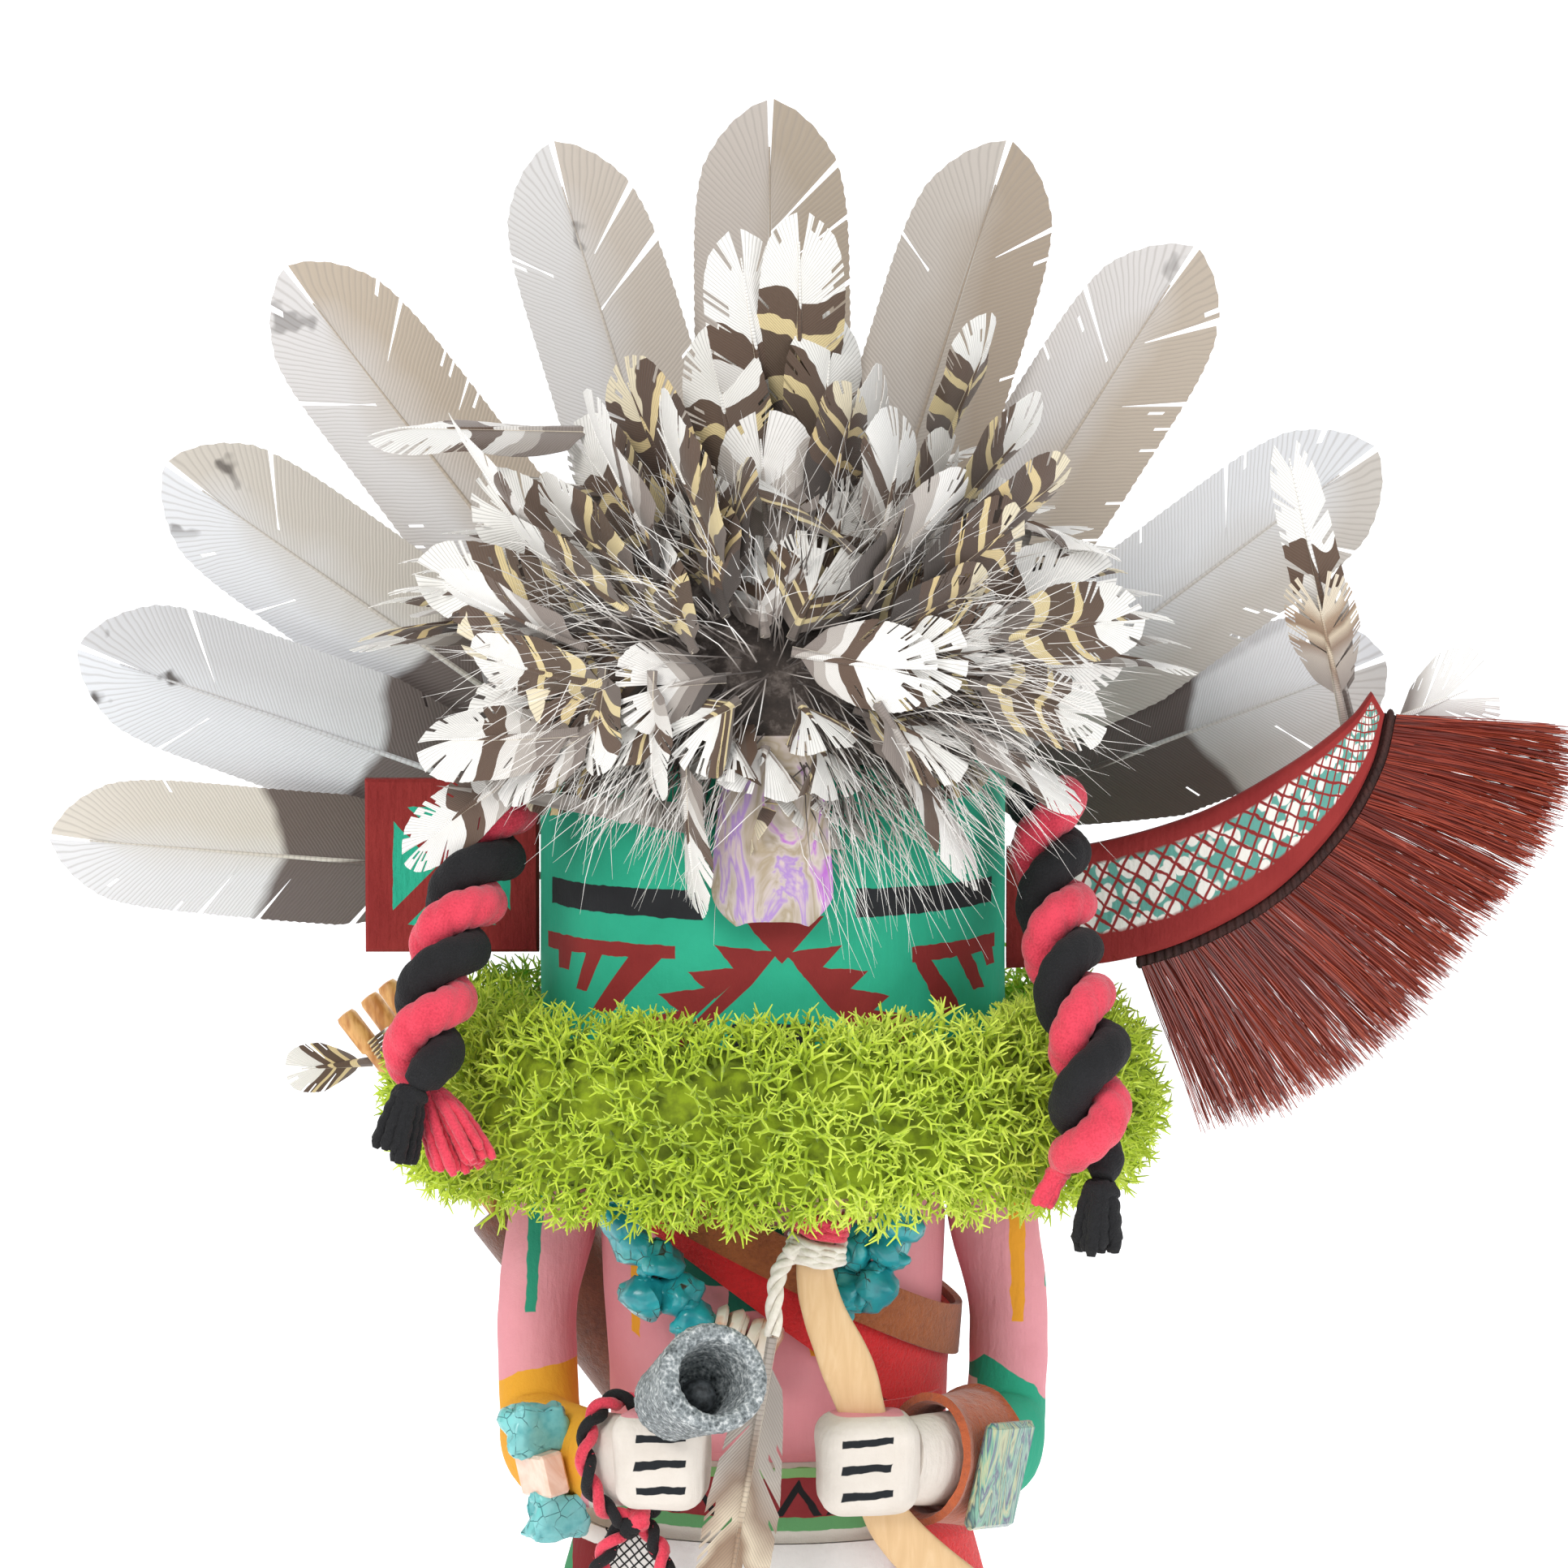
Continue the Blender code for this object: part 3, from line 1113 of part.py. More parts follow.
def make_quiver():
    """A suede quiver slung across the back, with three arrows and a small feather."""
    lean = Vector((-0.60, 0.07, 0.80)).normalized()
    radius = QUIVER_DIAMETER / 2
    foot_height = MASK_BOTTOM - QUIVER_DROP
    kilt_back = body_half_sizes(foot_height)[1]
    foot = Vector((7 * mm, kilt_back + FIT + 0.82 * radius, foot_height))
    mouth = foot + lean * QUIVER_LENGTH
    side = (Vector((1, 0, 0)) - lean * lean.x).normalized()
    up = lean.cross(side)
    wall = 1.6 * mm
    bm = bmesh.new()
    rows = ((0.0, radius * 0.55), (2 * mm, radius * 0.8), (QUIVER_LENGTH * 0.5, radius * 0.92),
            (QUIVER_LENGTH, radius), (QUIVER_LENGTH, radius - wall), (QUIVER_LENGTH - 16 * mm, radius - wall))
    rings = [ellipse_at((foot + lean * distance, lean, side, up), size, size, 14) for distance, size in rows]
    loft(bm, rings)
    add_piece("quiver", bm, finish("dark suede", (0.10, 0.04, 0.025), 0.95))
    start = mouth - lean * (16 * mm - FIT)
    spots = ((0.0, 4.2), (-3.9, -2.1), (3.7, -2.4))
    for number, (a, b) in enumerate(spots, start=1):
        root = start + side * a * mm + up * b * mm
        shaft = bmesh.new()
        spread = (lean + side * a * 0.004 + up * b * 0.004).normalized()
        rings = []
        for distance, size in ((0, 1.0), (ARROW_LENGTH - 8 * mm, 1.0), (ARROW_LENGTH - 7.5 * mm, 1.35),
                               (ARROW_LENGTH, 1.35)):
            frame = (root + spread * distance, spread, side, up)
            rings.append(ellipse_at(frame, ARROW_DIAMETER / 2 * size, ARROW_DIAMETER / 2 * size, 6))
        loft(shaft, rings)
        add_piece(f"arrow_{number}", shaft, finish(f"arrow {number} wood", (0.60, 0.33, 0.12), 0.6))
    clip = mouth + lean * 36 * mm - side * 6.2 * mm
    feather("quiver_feather", clip, Vector((-0.95, 0.0, -0.10)), Vector((0, -1, 0.2)), 3 * mm, 16 * mm, 9 * mm,
            finish("small barred feather", (0.45, 0.33, 0.22), 0.7), shape=SPLAYED_SHAPE)


def make_wing_tip_feathers():
    """Three small feathers tied in a bundle behind the tip of the crescent."""
    x, z = horn_place((0.945, 0.60))
    behind = HORN_THICKNESS / 2 + FIT + QUILL_DIAMETER / 2
    spacing = QUILL_DIAMETER + FIT
    looks = (
        ("tip_down_feather", Vector((-0.22, 0, 1)), -spacing / 2, behind, 30 * mm, 12 * mm, (0.35, 0.32, 0.30)),
        ("tip_spotted_feather", Vector((-0.24, 0, 1)), 0, behind + spacing, 54 * mm, 9 * mm, (0.50, 0.40, 0.28)),
        ("tip_white_feather", Vector((1.0, 0, 0.42)), spacing, behind, 26 * mm, 16 * mm, (0.75, 0.73, 0.70)),
    )
    for name, along, across, depth, length, width, color in looks:
        feather(name, Vector((x + across, depth, z)), along, Vector((0, -1, 0)), 7 * mm, length, width,
                finish(name.replace("_", " "), color, 0.7), shape=SPLAYED_SHAPE)


def build():
    make_base()
    make_figure()
    make_arm("right_arm", -1)
    left_arm = make_arm("left_arm", 1)
    make_case_mask()
    make_ear_board()
    make_wing_horn()
    make_fringe()
    make_fan()
    make_crown()
    make_forehead_shell()
    make_moss_ruff()
    make_ropes()
    make_sash()
    make_strap()
    make_cuff()
    make_bracelet()
    make_wrist_yarn()
    make_necklace()
    make_stick(left_arm)
    make_stick_wraps()
    make_bell()
    make_quiver()
    make_wing_tip_feathers()


build()
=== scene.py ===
import json
import math

import bmesh
import bpy
import numpy as np
from mathutils import Matrix, Vector, noise

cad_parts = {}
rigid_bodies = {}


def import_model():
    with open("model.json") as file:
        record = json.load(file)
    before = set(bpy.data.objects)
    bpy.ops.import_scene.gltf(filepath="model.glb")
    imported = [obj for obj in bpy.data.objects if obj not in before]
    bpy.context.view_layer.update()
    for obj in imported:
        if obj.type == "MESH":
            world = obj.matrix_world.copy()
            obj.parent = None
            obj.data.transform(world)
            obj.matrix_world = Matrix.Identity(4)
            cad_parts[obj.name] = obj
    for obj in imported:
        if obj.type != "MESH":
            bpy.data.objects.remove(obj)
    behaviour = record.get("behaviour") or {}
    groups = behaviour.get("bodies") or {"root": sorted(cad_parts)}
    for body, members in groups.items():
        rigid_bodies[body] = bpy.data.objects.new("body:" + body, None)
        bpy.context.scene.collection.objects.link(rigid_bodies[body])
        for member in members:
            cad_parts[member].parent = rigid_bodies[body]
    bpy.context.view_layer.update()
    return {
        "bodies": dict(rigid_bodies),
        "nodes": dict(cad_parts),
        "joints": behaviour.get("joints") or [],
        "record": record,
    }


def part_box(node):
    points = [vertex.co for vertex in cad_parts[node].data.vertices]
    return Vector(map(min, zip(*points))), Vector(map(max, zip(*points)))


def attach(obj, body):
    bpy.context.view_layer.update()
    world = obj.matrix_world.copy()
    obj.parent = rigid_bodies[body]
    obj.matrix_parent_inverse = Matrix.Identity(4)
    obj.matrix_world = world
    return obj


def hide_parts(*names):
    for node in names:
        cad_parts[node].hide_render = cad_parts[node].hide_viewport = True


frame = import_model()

# Lengths are in millimetres until a piece is finished; the frame is in metres.
# Right and left in the names are the figure's own, so its right arm is on the -X side.

scene = bpy.context.scene
nodes = frame["nodes"]
chance = np.random.default_rng(11)
mm = 0.001
TURN = 2 * math.pi
PAINT_EDGE = 0.12

# Sizes shared with the part's source
SOLE = 18.3
FIGURE_HEIGHT = 213.4
HALF_WIDTH = 62.0
HALF_DEPTH = 50.0
MASK_RADIUS = 41.5
MASK_BOTTOM = 232.0
MASK_TOP = 287.0
STRAND_DIAMETER = 6.6
FIT = 0.3


# Camera, floor and light

def set_camera():
    """The photograph's view: a long lens, level with the moss, looking slightly down."""
    distance = 1300.0
    tilt = math.radians(5.5)
    aim = Vector((2.0, 0, 280.0))
    data = bpy.data.cameras.new("Camera")
    data.sensor_width = 36
    data.lens = 167.06
    data.clip_end = 50
    camera = bpy.data.objects.new("Camera", data)
    camera.location = (aim + Vector((0, -math.cos(tilt), math.sin(tilt))) * distance) * mm
    camera.rotation_euler = (math.pi / 2 - tilt, 0, 0)
    scene.collection.objects.link(camera)
    scene.camera = camera


def set_lights():
    """Even white studio light, with a soft key from the upper left in front."""
    world = bpy.data.worlds.new("Studio")
    scene.world = world
    world.use_nodes = True
    world.node_tree.nodes["Background"].inputs["Color"].default_value = (0.97, 0.985, 1, 1)
    world.node_tree.nodes["Background"].inputs["Strength"].default_value = 0.56
    softboxes = (
        ("Key", (-0.75, -1.25, 1.15), 0.75, 15, (1, 0.985, 0.96)),
        ("Fill", (1.15, -0.95, 0.65), 0.9, 6, (0.96, 0.98, 1)),
        ("Back", (0.2, 0.95, 1.1), 0.8, 7, (1, 1, 1)),
    )
    for name, place, size, power, color in softboxes:
        data = bpy.data.lights.new(name, "AREA")
        data.size = size
        data.energy = power
        data.color = color
        light = bpy.data.objects.new(name, data)
        light.location = place
        light.rotation_euler = (Vector((0, 0, 0.26)) - light.location).to_track_quat("-Z", "Y").to_euler()
        scene.collection.objects.link(light)
    scene.view_settings.view_transform = "Standard"
    scene.view_settings.look = "None"


# Shader maths

class Value:
    """A shader socket that takes part in sums."""

    def __init__(self, paint, socket):
        self.paint = paint
        self.socket = socket

    def math(self, operation, *others):
        inputs = {i: other for i, other in enumerate((self, *others))}
        return self.paint.node("ShaderNodeMath", {"operation": operation}, inputs)

    def __add__(self, other):
        return self.math("ADD", other)

    def __radd__(self, other):
        return self.math("ADD", other)

    def __mul__(self, other):
        return self.math("MULTIPLY", other)

    def __rmul__(self, other):
        return self.math("MULTIPLY", other)

    def __sub__(self, other):
        return self.math("SUBTRACT", other)

    def __rsub__(self, other):
        return (self * -1).math("ADD", other)

    def __truediv__(self, other):
        return self.math("DIVIDE", other)

    def least(self, other):
        return self.math("MINIMUM", other)

    def most(self, other):
        return self.math("MAXIMUM", other)

    def clamp(self):
        return self.math("MAXIMUM", 0).math("MINIMUM", 1)

    def size(self):
        return self.math("ABSOLUTE")

    def sine(self):
        return self.math("SINE")

    def wave(self):
        """The distance to the nearest whole number, from 0 to 0.5."""
        return self.math("PINGPONG", 0.5)

    def above(self, edge, soft=0.1):
        """0 below an edge and 1 above it."""
        return ((self - edge) / soft + 0.5).clamp()

    def below(self, edge, soft=0.1):
        return ((self - edge) / -soft + 0.5).clamp()

    def between(self, low, high, soft=0.1):
        return self.above(low, soft) * self.below(high, soft)


def tone(text):
    """A linear colour from a screen colour written as six hexadecimal digits."""
    parts = [int(text[i:i + 2], 16) / 255 for i in (0, 2, 4)]
    return (*[p / 12.92 if p <= 0.04045 else ((p + 0.055) / 1.055) ** 2.4 for p in parts], 1.0)


class Paint:
    """A finish that is built from nodes."""

    def __init__(self, name, slot="", **sockets):
        self.slot = slot
        self.material = bpy.data.materials.new(name)
        self.material.use_nodes = True
        self.tree = self.material.node_tree
        self.shader = self.tree.nodes["Principled BSDF"]
        for key, value in sockets.items():
            self.put(self.shader.inputs[key.replace("_", " ")], value)

    def put(self, socket, value):
        if isinstance(value, Value):
            value = value.socket
        if isinstance(value, bpy.types.NodeSocket):
            self.tree.links.new(value, socket)
        elif isinstance(value, str):
            socket.default_value = tone(value)
        else:
            socket.default_value = value

    def node(self, kind, settings=None, inputs=None, output=0):
        """Add a node: its settings first, then the values or links of its sockets."""
        node = self.tree.nodes.new(kind)
        for key, value in (settings or {}).items():
            if key == "stops":
                self.set_stops(node.color_ramp, value)
            else:
                setattr(node, key, value)
        for key, value in (inputs or {}).items():
            self.put(node.inputs[key], value)
        return Value(self, node.outputs[output])

    def set_stops(self, ramp, stops):
        while len(ramp.elements) < len(stops):
            ramp.elements.new(0.5)
        for element, (place, color) in zip(ramp.elements, stops):
            element.position = place
            element.color = tone(color)

    def set(self, **sockets):
        for key, value in sockets.items():
            self.put(self.shader.inputs[key.replace("_", " ")], value)
        return self

    def place(self):
        """Object coordinates in millimetres, as x, y and z."""
        point = self.node("ShaderNodeTexCoord", output="Object")
        parts = self.tree.nodes.new("ShaderNodeSeparateXYZ")
        self.put(parts.inputs[0], point)
        return [Value(self, socket) * 1000 for socket in parts.outputs]

    def where(self):
        return self.node("ShaderNodeTexCoord", output="Object")

    def uv(self):
        """The piece's own coordinates across and along it."""
        point = self.node("ShaderNodeUVMap", {"uv_map": "UVMap"})
        parts = self.tree.nodes.new("ShaderNodeSeparateXYZ")
        self.put(parts.inputs[0], point)
        return Value(self, parts.outputs[0]), Value(self, parts.outputs[1])

    def own(self, name):
        """A number that the piece's mesh carries."""
        return self.node("ShaderNodeAttribute", {"attribute_name": name}, output="Fac")

    def point(self, x, y, z):
        return self.node("ShaderNodeCombineXYZ", None, {0: x, 1: y, 2: z})

    def stretched(self, vector, *scale):
        return self.node("ShaderNodeVectorMath", {"operation": "MULTIPLY"}, {0: vector, 1: scale})

    def noise(self, vector, scale, detail=2.0, roughness=0.5, warp=0.0):
        inputs = {"Vector": vector, "Scale": scale, "Detail": detail, "Roughness": roughness,
                  "Distortion": warp}
        return self.node("ShaderNodeTexNoise", None, inputs)

    def cells(self, vector, scale, feature="F1"):
        return self.node("ShaderNodeTexVoronoi", {"feature": feature}, {"Vector": vector, "Scale": scale})

    def ramp(self, value, *stops, crisp=False):
        color = self.node("ShaderNodeValToRGB", {"stops": stops}, {0: value})
        color.socket.node.color_ramp.interpolation = "CONSTANT" if crisp else "LINEAR"
        return color

    def coats(self, color, *coats):
        """Coats of paint over a colour, each a mask and a tone."""
        for mask, over in coats:
            color = self.mix(mask, color, over)
        return color

    def mix(self, mask, first, second):
        return self.node("ShaderNodeMix", {"data_type": "RGBA"}, {0: mask, 6: first, 7: second}, 2)

    def bump(self, height, strength, distance):
        """Height is from 0 to 1, and distance is what it stands for in millimetres."""
        normal = self.node("ShaderNodeBump", None,
                           {"Height": height, "Strength": strength, "Distance": distance * mm})
        return self.set(Normal=normal)

    def figured(self, noise, strength, distance, *stops):
        """Colour and relief from one noise."""
        self.set(Base_Color=self.ramp(noise, *stops))
        return self.bump(noise, strength, distance)

    def half_plane(self, across, up, start, end):
        """How far a place lies to the left of the line from start to end."""
        dx, dy = end[0] - start[0], end[1] - start[1]
        length = math.hypot(dx, dy)
        a, b = -dy / length, dx / length
        c = -(a * start[0] + b * start[1])
        return up.math("MULTIPLY_ADD", b, across.math("MULTIPLY_ADD", a, c))

    def polygon(self, across, up, corners):
        """1 inside a convex polygon."""
        corners = list(corners)
        turning = sum(p[0] * q[1] - q[0] * p[1] for p, q in zip(corners, corners[1:] + corners[:1]))
        if turning < 0:
            corners = corners[::-1]
        inside = None
        for start, end in zip(corners, corners[1:] + corners[:1]):
            depth = self.half_plane(across, up, start, end)
            inside = depth if inside is None else inside.least(depth)
        return inside.above(0, PAINT_EDGE)

    def polygons(self, across, up, shapes):
        mask = self.polygon(across, up, shapes[0])
        for shape in shapes[1:]:
            mask = mask.most(self.polygon(across, up, shape))
        return mask

    def swayed(self, scale, amount):
        """Object coordinates, and x, y and z in millimetres, x and z with a hand-drawn sway."""
        x, y, z = self.place()
        where = self.where()
        wobble = (self.noise(where, scale, 2) - 0.5) * amount
        return where, x + wobble, y, z + wobble


# Modelling helpers

def smooth_rows(rows, count):
    """Rows of numbers read from a smooth curve through the given rows."""
    knots = np.array(rows, dtype=float)
    padded = np.vstack((2 * knots[0] - knots[1], knots, 2 * knots[-1] - knots[-2]))
    result = []
    for place in np.linspace(0, len(knots) - 1, count):
        i = min(int(place), len(knots) - 2)
        t = place - i
        before, start, end, after = padded[i:i + 4]
        result.append(0.5 * (2 * start + (end - before) * t
                             + (2 * before - 5 * start + 4 * end - after) * t ** 2
                             + (3 * start - before - 3 * end + after) * t ** 3))
    return result


def smooth_points(points, count):
    return [Vector(row) for row in smooth_rows(points, count)]


def round_about(point, side, up, turn, wide, high):
    """A place on the oval round a point."""
    return point + side * wide * math.cos(turn) + up * high * math.sin(turn)


def frames_along(points, side):
    """Point, direction, side and up at each point, with as little twist as can be."""
    frames = []
    for i, point in enumerate(points):
        direction = (points[min(i + 1, len(points) - 1)] - points[max(i - 1, 0)]).normalized()
        side = (side - direction * side.dot(direction)).normalized()
        frames.append((point, direction, side, direction.cross(side)))
    return frames


def warped(columns, rows, place, closed=False, capped=False):
    """A grid whose points move to place(across, along), each from 0 to 1."""
    bm = bmesh.new()
    bm.loops.layers.uv.new("UVMap")
    bmesh.ops.create_grid(bm, x_segments=columns, y_segments=rows, size=0.5, calc_uvs=True)
    for vert in bm.verts:
        vert.co = place(vert.co.x + 0.5, vert.co.y + 0.5)
    if closed:
        bmesh.ops.remove_doubles(bm, verts=bm.verts, dist=1e-4)
    if capped:
        bmesh.ops.holes_fill(bm, edges=[edge for edge in bm.edges if edge.is_boundary])
    return bm


def ring_place(frames, radius):
    """Places round a row of frames; radius(turn, along) gives half sizes across and up."""
    last = len(frames) - 1

    def place(across, along):
        point, _, side, up = frames[round(along * last)]
        wide, high = radius(across * TURN, along)
        return round_about(point, side, up, across * TURN, wide, high)
    return place


def tube(points, radius, sides=8, side=Vector((1, 0, 0)), frames=None):
    """A closed tube along points; radius is a number or a function of (turn, along)."""
    frames = frames or frames_along(points, side)
    size = radius if callable(radius) else (lambda turn, along: (radius, radius))
    return warped(sides, len(frames) - 1, ring_place(frames, size), closed=True, capped=True)


def lathe(profile, steps=96, centre=(0, 0, 0), axis=Vector((0, 0, 1))):
    """A turned piece from (radius, height) pairs."""
    bm = bmesh.new()
    verts = [bm.verts.new((radius, 0, height)) for radius, height in profile]
    edges = [bm.edges.new(pair) for pair in zip(verts, verts[1:])]
    bmesh.ops.spin(bm, geom=verts + edges, cent=(0, 0, 0), axis=(0, 0, 1), angle=TURN,
                   steps=steps, use_merge=True)
    bmesh.ops.remove_doubles(bm, verts=bm.verts, dist=1e-4)
    turn = axis.to_track_quat("Z", "Y").to_matrix().to_4x4()
    bmesh.ops.transform(bm, matrix=Matrix.Translation(centre) @ turn, verts=bm.verts)
    return bm


def roughen(bm, amount, scale, seed=0.0):
    """Push a surface in and out by noise."""
    bm.normal_update()
    for vert in bm.verts:
        vert.co += vert.normal * amount * noise.noise(vert.co * scale + Vector((seed, seed, 0)))


def thicken(bm, thickness):
    """Give a sheet its thickness, once its faces agree."""
    bmesh.ops.recalc_face_normals(bm, faces=bm.faces)
    bmesh.ops.solidify(bm, geom=bm.faces[:], thickness=thickness)


def number_verts(bm, name, number):
    """Keep one number on every point, for the finish to read."""
    layer = bm.verts.layers.float.new(name)
    for vert in bm.verts:
        vert[layer] = number


def box_of(name):
    """A node's lowest and highest corners in millimetres."""
    return [Vector(corner) * 1000 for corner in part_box(name)]


def round_edges(bm, offset, segments, cuts):
    """Round a block's edges, then give its faces a grid."""
    bmesh.ops.bevel(bm, geom=bm.edges[:], offset=offset, segments=segments, profile=0.5, affect="EDGES",
                    material=-1)
    bmesh.ops.subdivide_edges(bm, edges=bm.edges[:], cuts=cuts, use_grid_fill=True)


def ball(subdivisions, size):
    bm = bmesh.new()
    bmesh.ops.create_icosphere(bm, subdivisions=subdivisions, radius=1)
    bmesh.ops.scale(bm, vec=size, verts=bm.verts)
    return bm


def join(target, bm):
    """Add one bmesh to another, and free it."""
    mesh = bpy.data.meshes.new("part")
    bm.to_mesh(mesh)
    bm.free()
    target.from_mesh(mesh)
    bpy.data.meshes.remove(mesh)


def add_piece(name, bm, paint, replaced=(), turned_out=True, smooth_angle=50):
    """Finish a piece: in metres, facing out, with its finish, and riding on the doll."""
    bmesh.ops.scale(bm, vec=(mm, mm, mm), verts=bm.verts)
    if turned_out:
        bmesh.ops.recalc_face_normals(bm, faces=bm.faces)
    mesh = bpy.data.meshes.new(name)
    bm.to_mesh(mesh)
    bm.free()
    mesh.shade_smooth()
    mesh.set_sharp_from_angle(angle=math.radians(smooth_angle))
    mesh.materials.append(paint.material)
    piece = bpy.data.objects.new(name, mesh)
    scene.collection.objects.link(piece)
    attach(piece, "root")
    if replaced:
        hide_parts(*([replaced] if isinstance(replaced, str) else replaced))
    return piece


def repaint(name, paint):
    """Give a CAD node that keeps its shape a better finish."""
    for slot in nodes[name].material_slots:
        slot.material = paint.material


# Ropes of wool, before all else

ROPE_TURNS = {"right": 3.06, "left": 3.65}
ROPE_PHASE = {"right": -1.62, "left": -0.63}
ROPE_ROUTES = {
    "right": (
        (-47.5, -20.5, 282.0), (-48.6, -25.8, 275.0), (-51.2, -32.2, 268.0),
        (-54.3, -38.6, 260.5), (-56.8, -44.5, 252.5), (-58.8, -49.4, 244.5),
        (-60.0, -52.5, 238.5), (-60.3, -54.0, 233.0),
    ),
    "left": (
        (48.0, -20.0, 282.0), (48.5, -21.5, 273.5), (49.5, -28.0, 264.0),
        (50.0, -35.0, 257.0), (52.2, -45.0, 247.6), (54.5, -52.0, 239.8),
        (54.5, -56.0, 231.8), (54.5, -56.5, 224.0), (53.2, -56.0, 218.5),
    ),
}
STRAND_STEPS = 160


def even_points(route, count):
    """Points at even distances along the smooth curve through a route."""
    fine = np.array(smooth_rows(route, 200))
    lengths = np.concatenate(([0], np.cumsum(np.linalg.norm(np.diff(fine, axis=0), axis=1))))
    places = np.linspace(0, lengths[-1], count)
    return [Vector([np.interp(place, lengths, fine[:, axis]) for axis in range(3)]) for place in places]


def strand_points(side_name, phase):
    """The line that one strand follows round its rope, as in the part's source."""
    points = even_points(ROPE_ROUTES[side_name], STRAND_STEPS + 1)
    line = []
    for i, (point, _, side, up) in enumerate(frames_along(points, Vector((1, 0, 0)))):
        angle = phase + TURN * ROPE_TURNS[side_name] * i / STRAND_STEPS
        line.append(point + (side * math.cos(angle) + up * math.sin(angle)) * (STRAND_DIAMETER / 2 + FIT))
    return line


def yarn_paint(name, slot, dark, light, fuzz, sheen):
    paint = Paint(name, slot, Sheen_Weight=sheen, Sheen_Roughness=0.5, Roughness=0.9)
    where = paint.where()
    fibres = paint.noise(where, 2600, 3)
    patches = paint.noise(where, 160, 2)
    mask = (fibres * 0.65 + patches * 0.5).between(0.42, 5, 0.5)
    paint.set(Base_Color=paint.mix(mask, dark, light))
    return paint.bump(fibres, fuzz, 0.5)


RED_YARN = yarn_paint("red wool", "red yarn", "a30e25", "e8435a", 0.6, 0.25)
BLACK_YARN = yarn_paint("black wool", "black yarn", "020203", "161619", 0.8, 0.03)


def strand(points, radius, plies, ply_step, groove, rows, sides=12):
    """A strand whose plies wind round it."""
    fine = smooth_points(points, rows)
    length = sum((b - a).length for a, b in zip(fine, fine[1:]))

    def size(turn, along):
        wind = turn * plies + along * length / ply_step * TURN
        bulge = 1 - groove * (1 - abs(math.cos(wind / 2)) ** 0.7)
        end = min(1, 0.55 + 14 * min(along, 1 - along))
        return radius * bulge * end, radius * bulge * end
    return tube(None, size, sides, frames=frames_along(fine, Vector((1, 0, 0)))), length


def fluff(target, points, radius, count, reach, thick):
    """Stray hairs that stand off a strand."""
    for _ in range(count):
        place = chance.random()
        i = int(place * (len(points) - 2))
        point = points[i]
        direction = (points[i + 1] - points[i]).normalized()
        aside = Vector(chance.normal(size=3))
        aside = (aside - direction * aside.dot(direction)).normalized()
        start = point + aside * radius * 0.85
        bend = (aside + direction * chance.uniform(-1.2, 1.2)).normalized()
        curl = Vector(chance.normal(size=3)) * 0.25
        size = reach * chance.uniform(0.4, 1)
        join(target, tube([start, start + bend * size * 0.5, start + (bend + curl) * size],
                          lambda turn, along: (thick * (1.1 - along), thick * (1.1 - along)), 3))


def tassel(start, along, length, width, count, thick):
    """Plies that splay from a knot."""
    bm = bmesh.new()
    for _ in range(count):
        aside = Vector(chance.normal(size=3))
        aside = (aside - along * aside.dot(along)).normalized()
        out = aside * width * math.sqrt(chance.random())
        reach = length * chance.uniform(0.75, 1.0)
        root = start + aside * thick * 1.2
        middle = start + along * reach * 0.45 + out * 0.75
        tip = start + along * reach + out + Vector((0, 0, -0.6))
        points = smooth_points([root, middle, tip], 14)
        fine, _ = strand(points, thick, 2, 2.6, 0.3, 15)
        join(bm, fine)
    return bm


def make_ropes():
    """Each rope is a red and a black strand; every strand ends in its own tuft."""
    ends = {
        "right_rope_black": (Vector((-0.28, -0.05, -1)), 12.5, 4.0, 26, 1.15, 3.0),
        "right_rope_red": (Vector((0.55, -0.30, -1)), 15, 5.4, 34, 1.05, 2.0),
        "left_rope_black": (Vector((-0.05, 0, -1)), 12, 4.2, 26, 1.3, 3.0),
        "left_rope_red": (Vector((-0.62, 0, -1)), 7.4, 1.8, 12, 1.0, 2.0),
    }
    for side_name in ROPE_ROUTES:
        for color_name, ahead, paint in (("red", 0.0, RED_YARN), ("black", math.pi, BLACK_YARN)):
            name = f"{side_name}_rope_{color_name}"
            points = strand_points(side_name, ROPE_PHASE[side_name] + ahead)
            is_red = color_name == "red"
            wool, length = strand(points, 3.66, 3, 3.7, 0.13 if is_red else 0.08, 481, 24)
            fluff(wool, points, 3.5, 140 if is_red else 420, 1.0 if is_red else 1.3, 0.06)
            piece = add_piece(f"{name}_wool", wool, paint, name)
            along, reach, width, count, thick, knot = ends[name]
            along = along.normalized()
            tuft = tassel(points[-1] + along * 0.6, along, reach, width, count, thick)
            knot_ball = bmesh.new()
            bmesh.ops.create_icosphere(knot_ball, subdivisions=4, radius=knot)
            bmesh.ops.scale(knot_ball, vec=(1, 1, 0.8), verts=knot_ball.verts)
            roughen(knot_ball, 0.9, 0.6, knot)
            bmesh.ops.translate(knot_ball, verts=knot_ball.verts, vec=points[-1] + along * knot * 0.8)
            join(tuft, knot_ball)
            end = add_piece(f"{name}_tuft", tuft, paint, f"{name}_end")
            points[0] * mm
            length * mm
            [point * mm for point in points]


# Carved and painted wood

def hand_paint(paint, where, color, strength, distance):
    """A colour with the fine upright brush strokes and small pits of hand-laid paint."""
    paint.set(Base_Color=color)
    strokes = paint.noise(paint.stretched(where, 1, 1, 0.16), 900, 3)
    pits = paint.noise(where, 420, 4, 0.65)
    return paint.bump(strokes * 0.5 + pits * 0.6, strength, distance)


def mottled(paint, where, first, second, scale=55):
    return paint.mix(paint.noise(where, scale, 4, 0.6).above(0.5, 0.5), first, second)


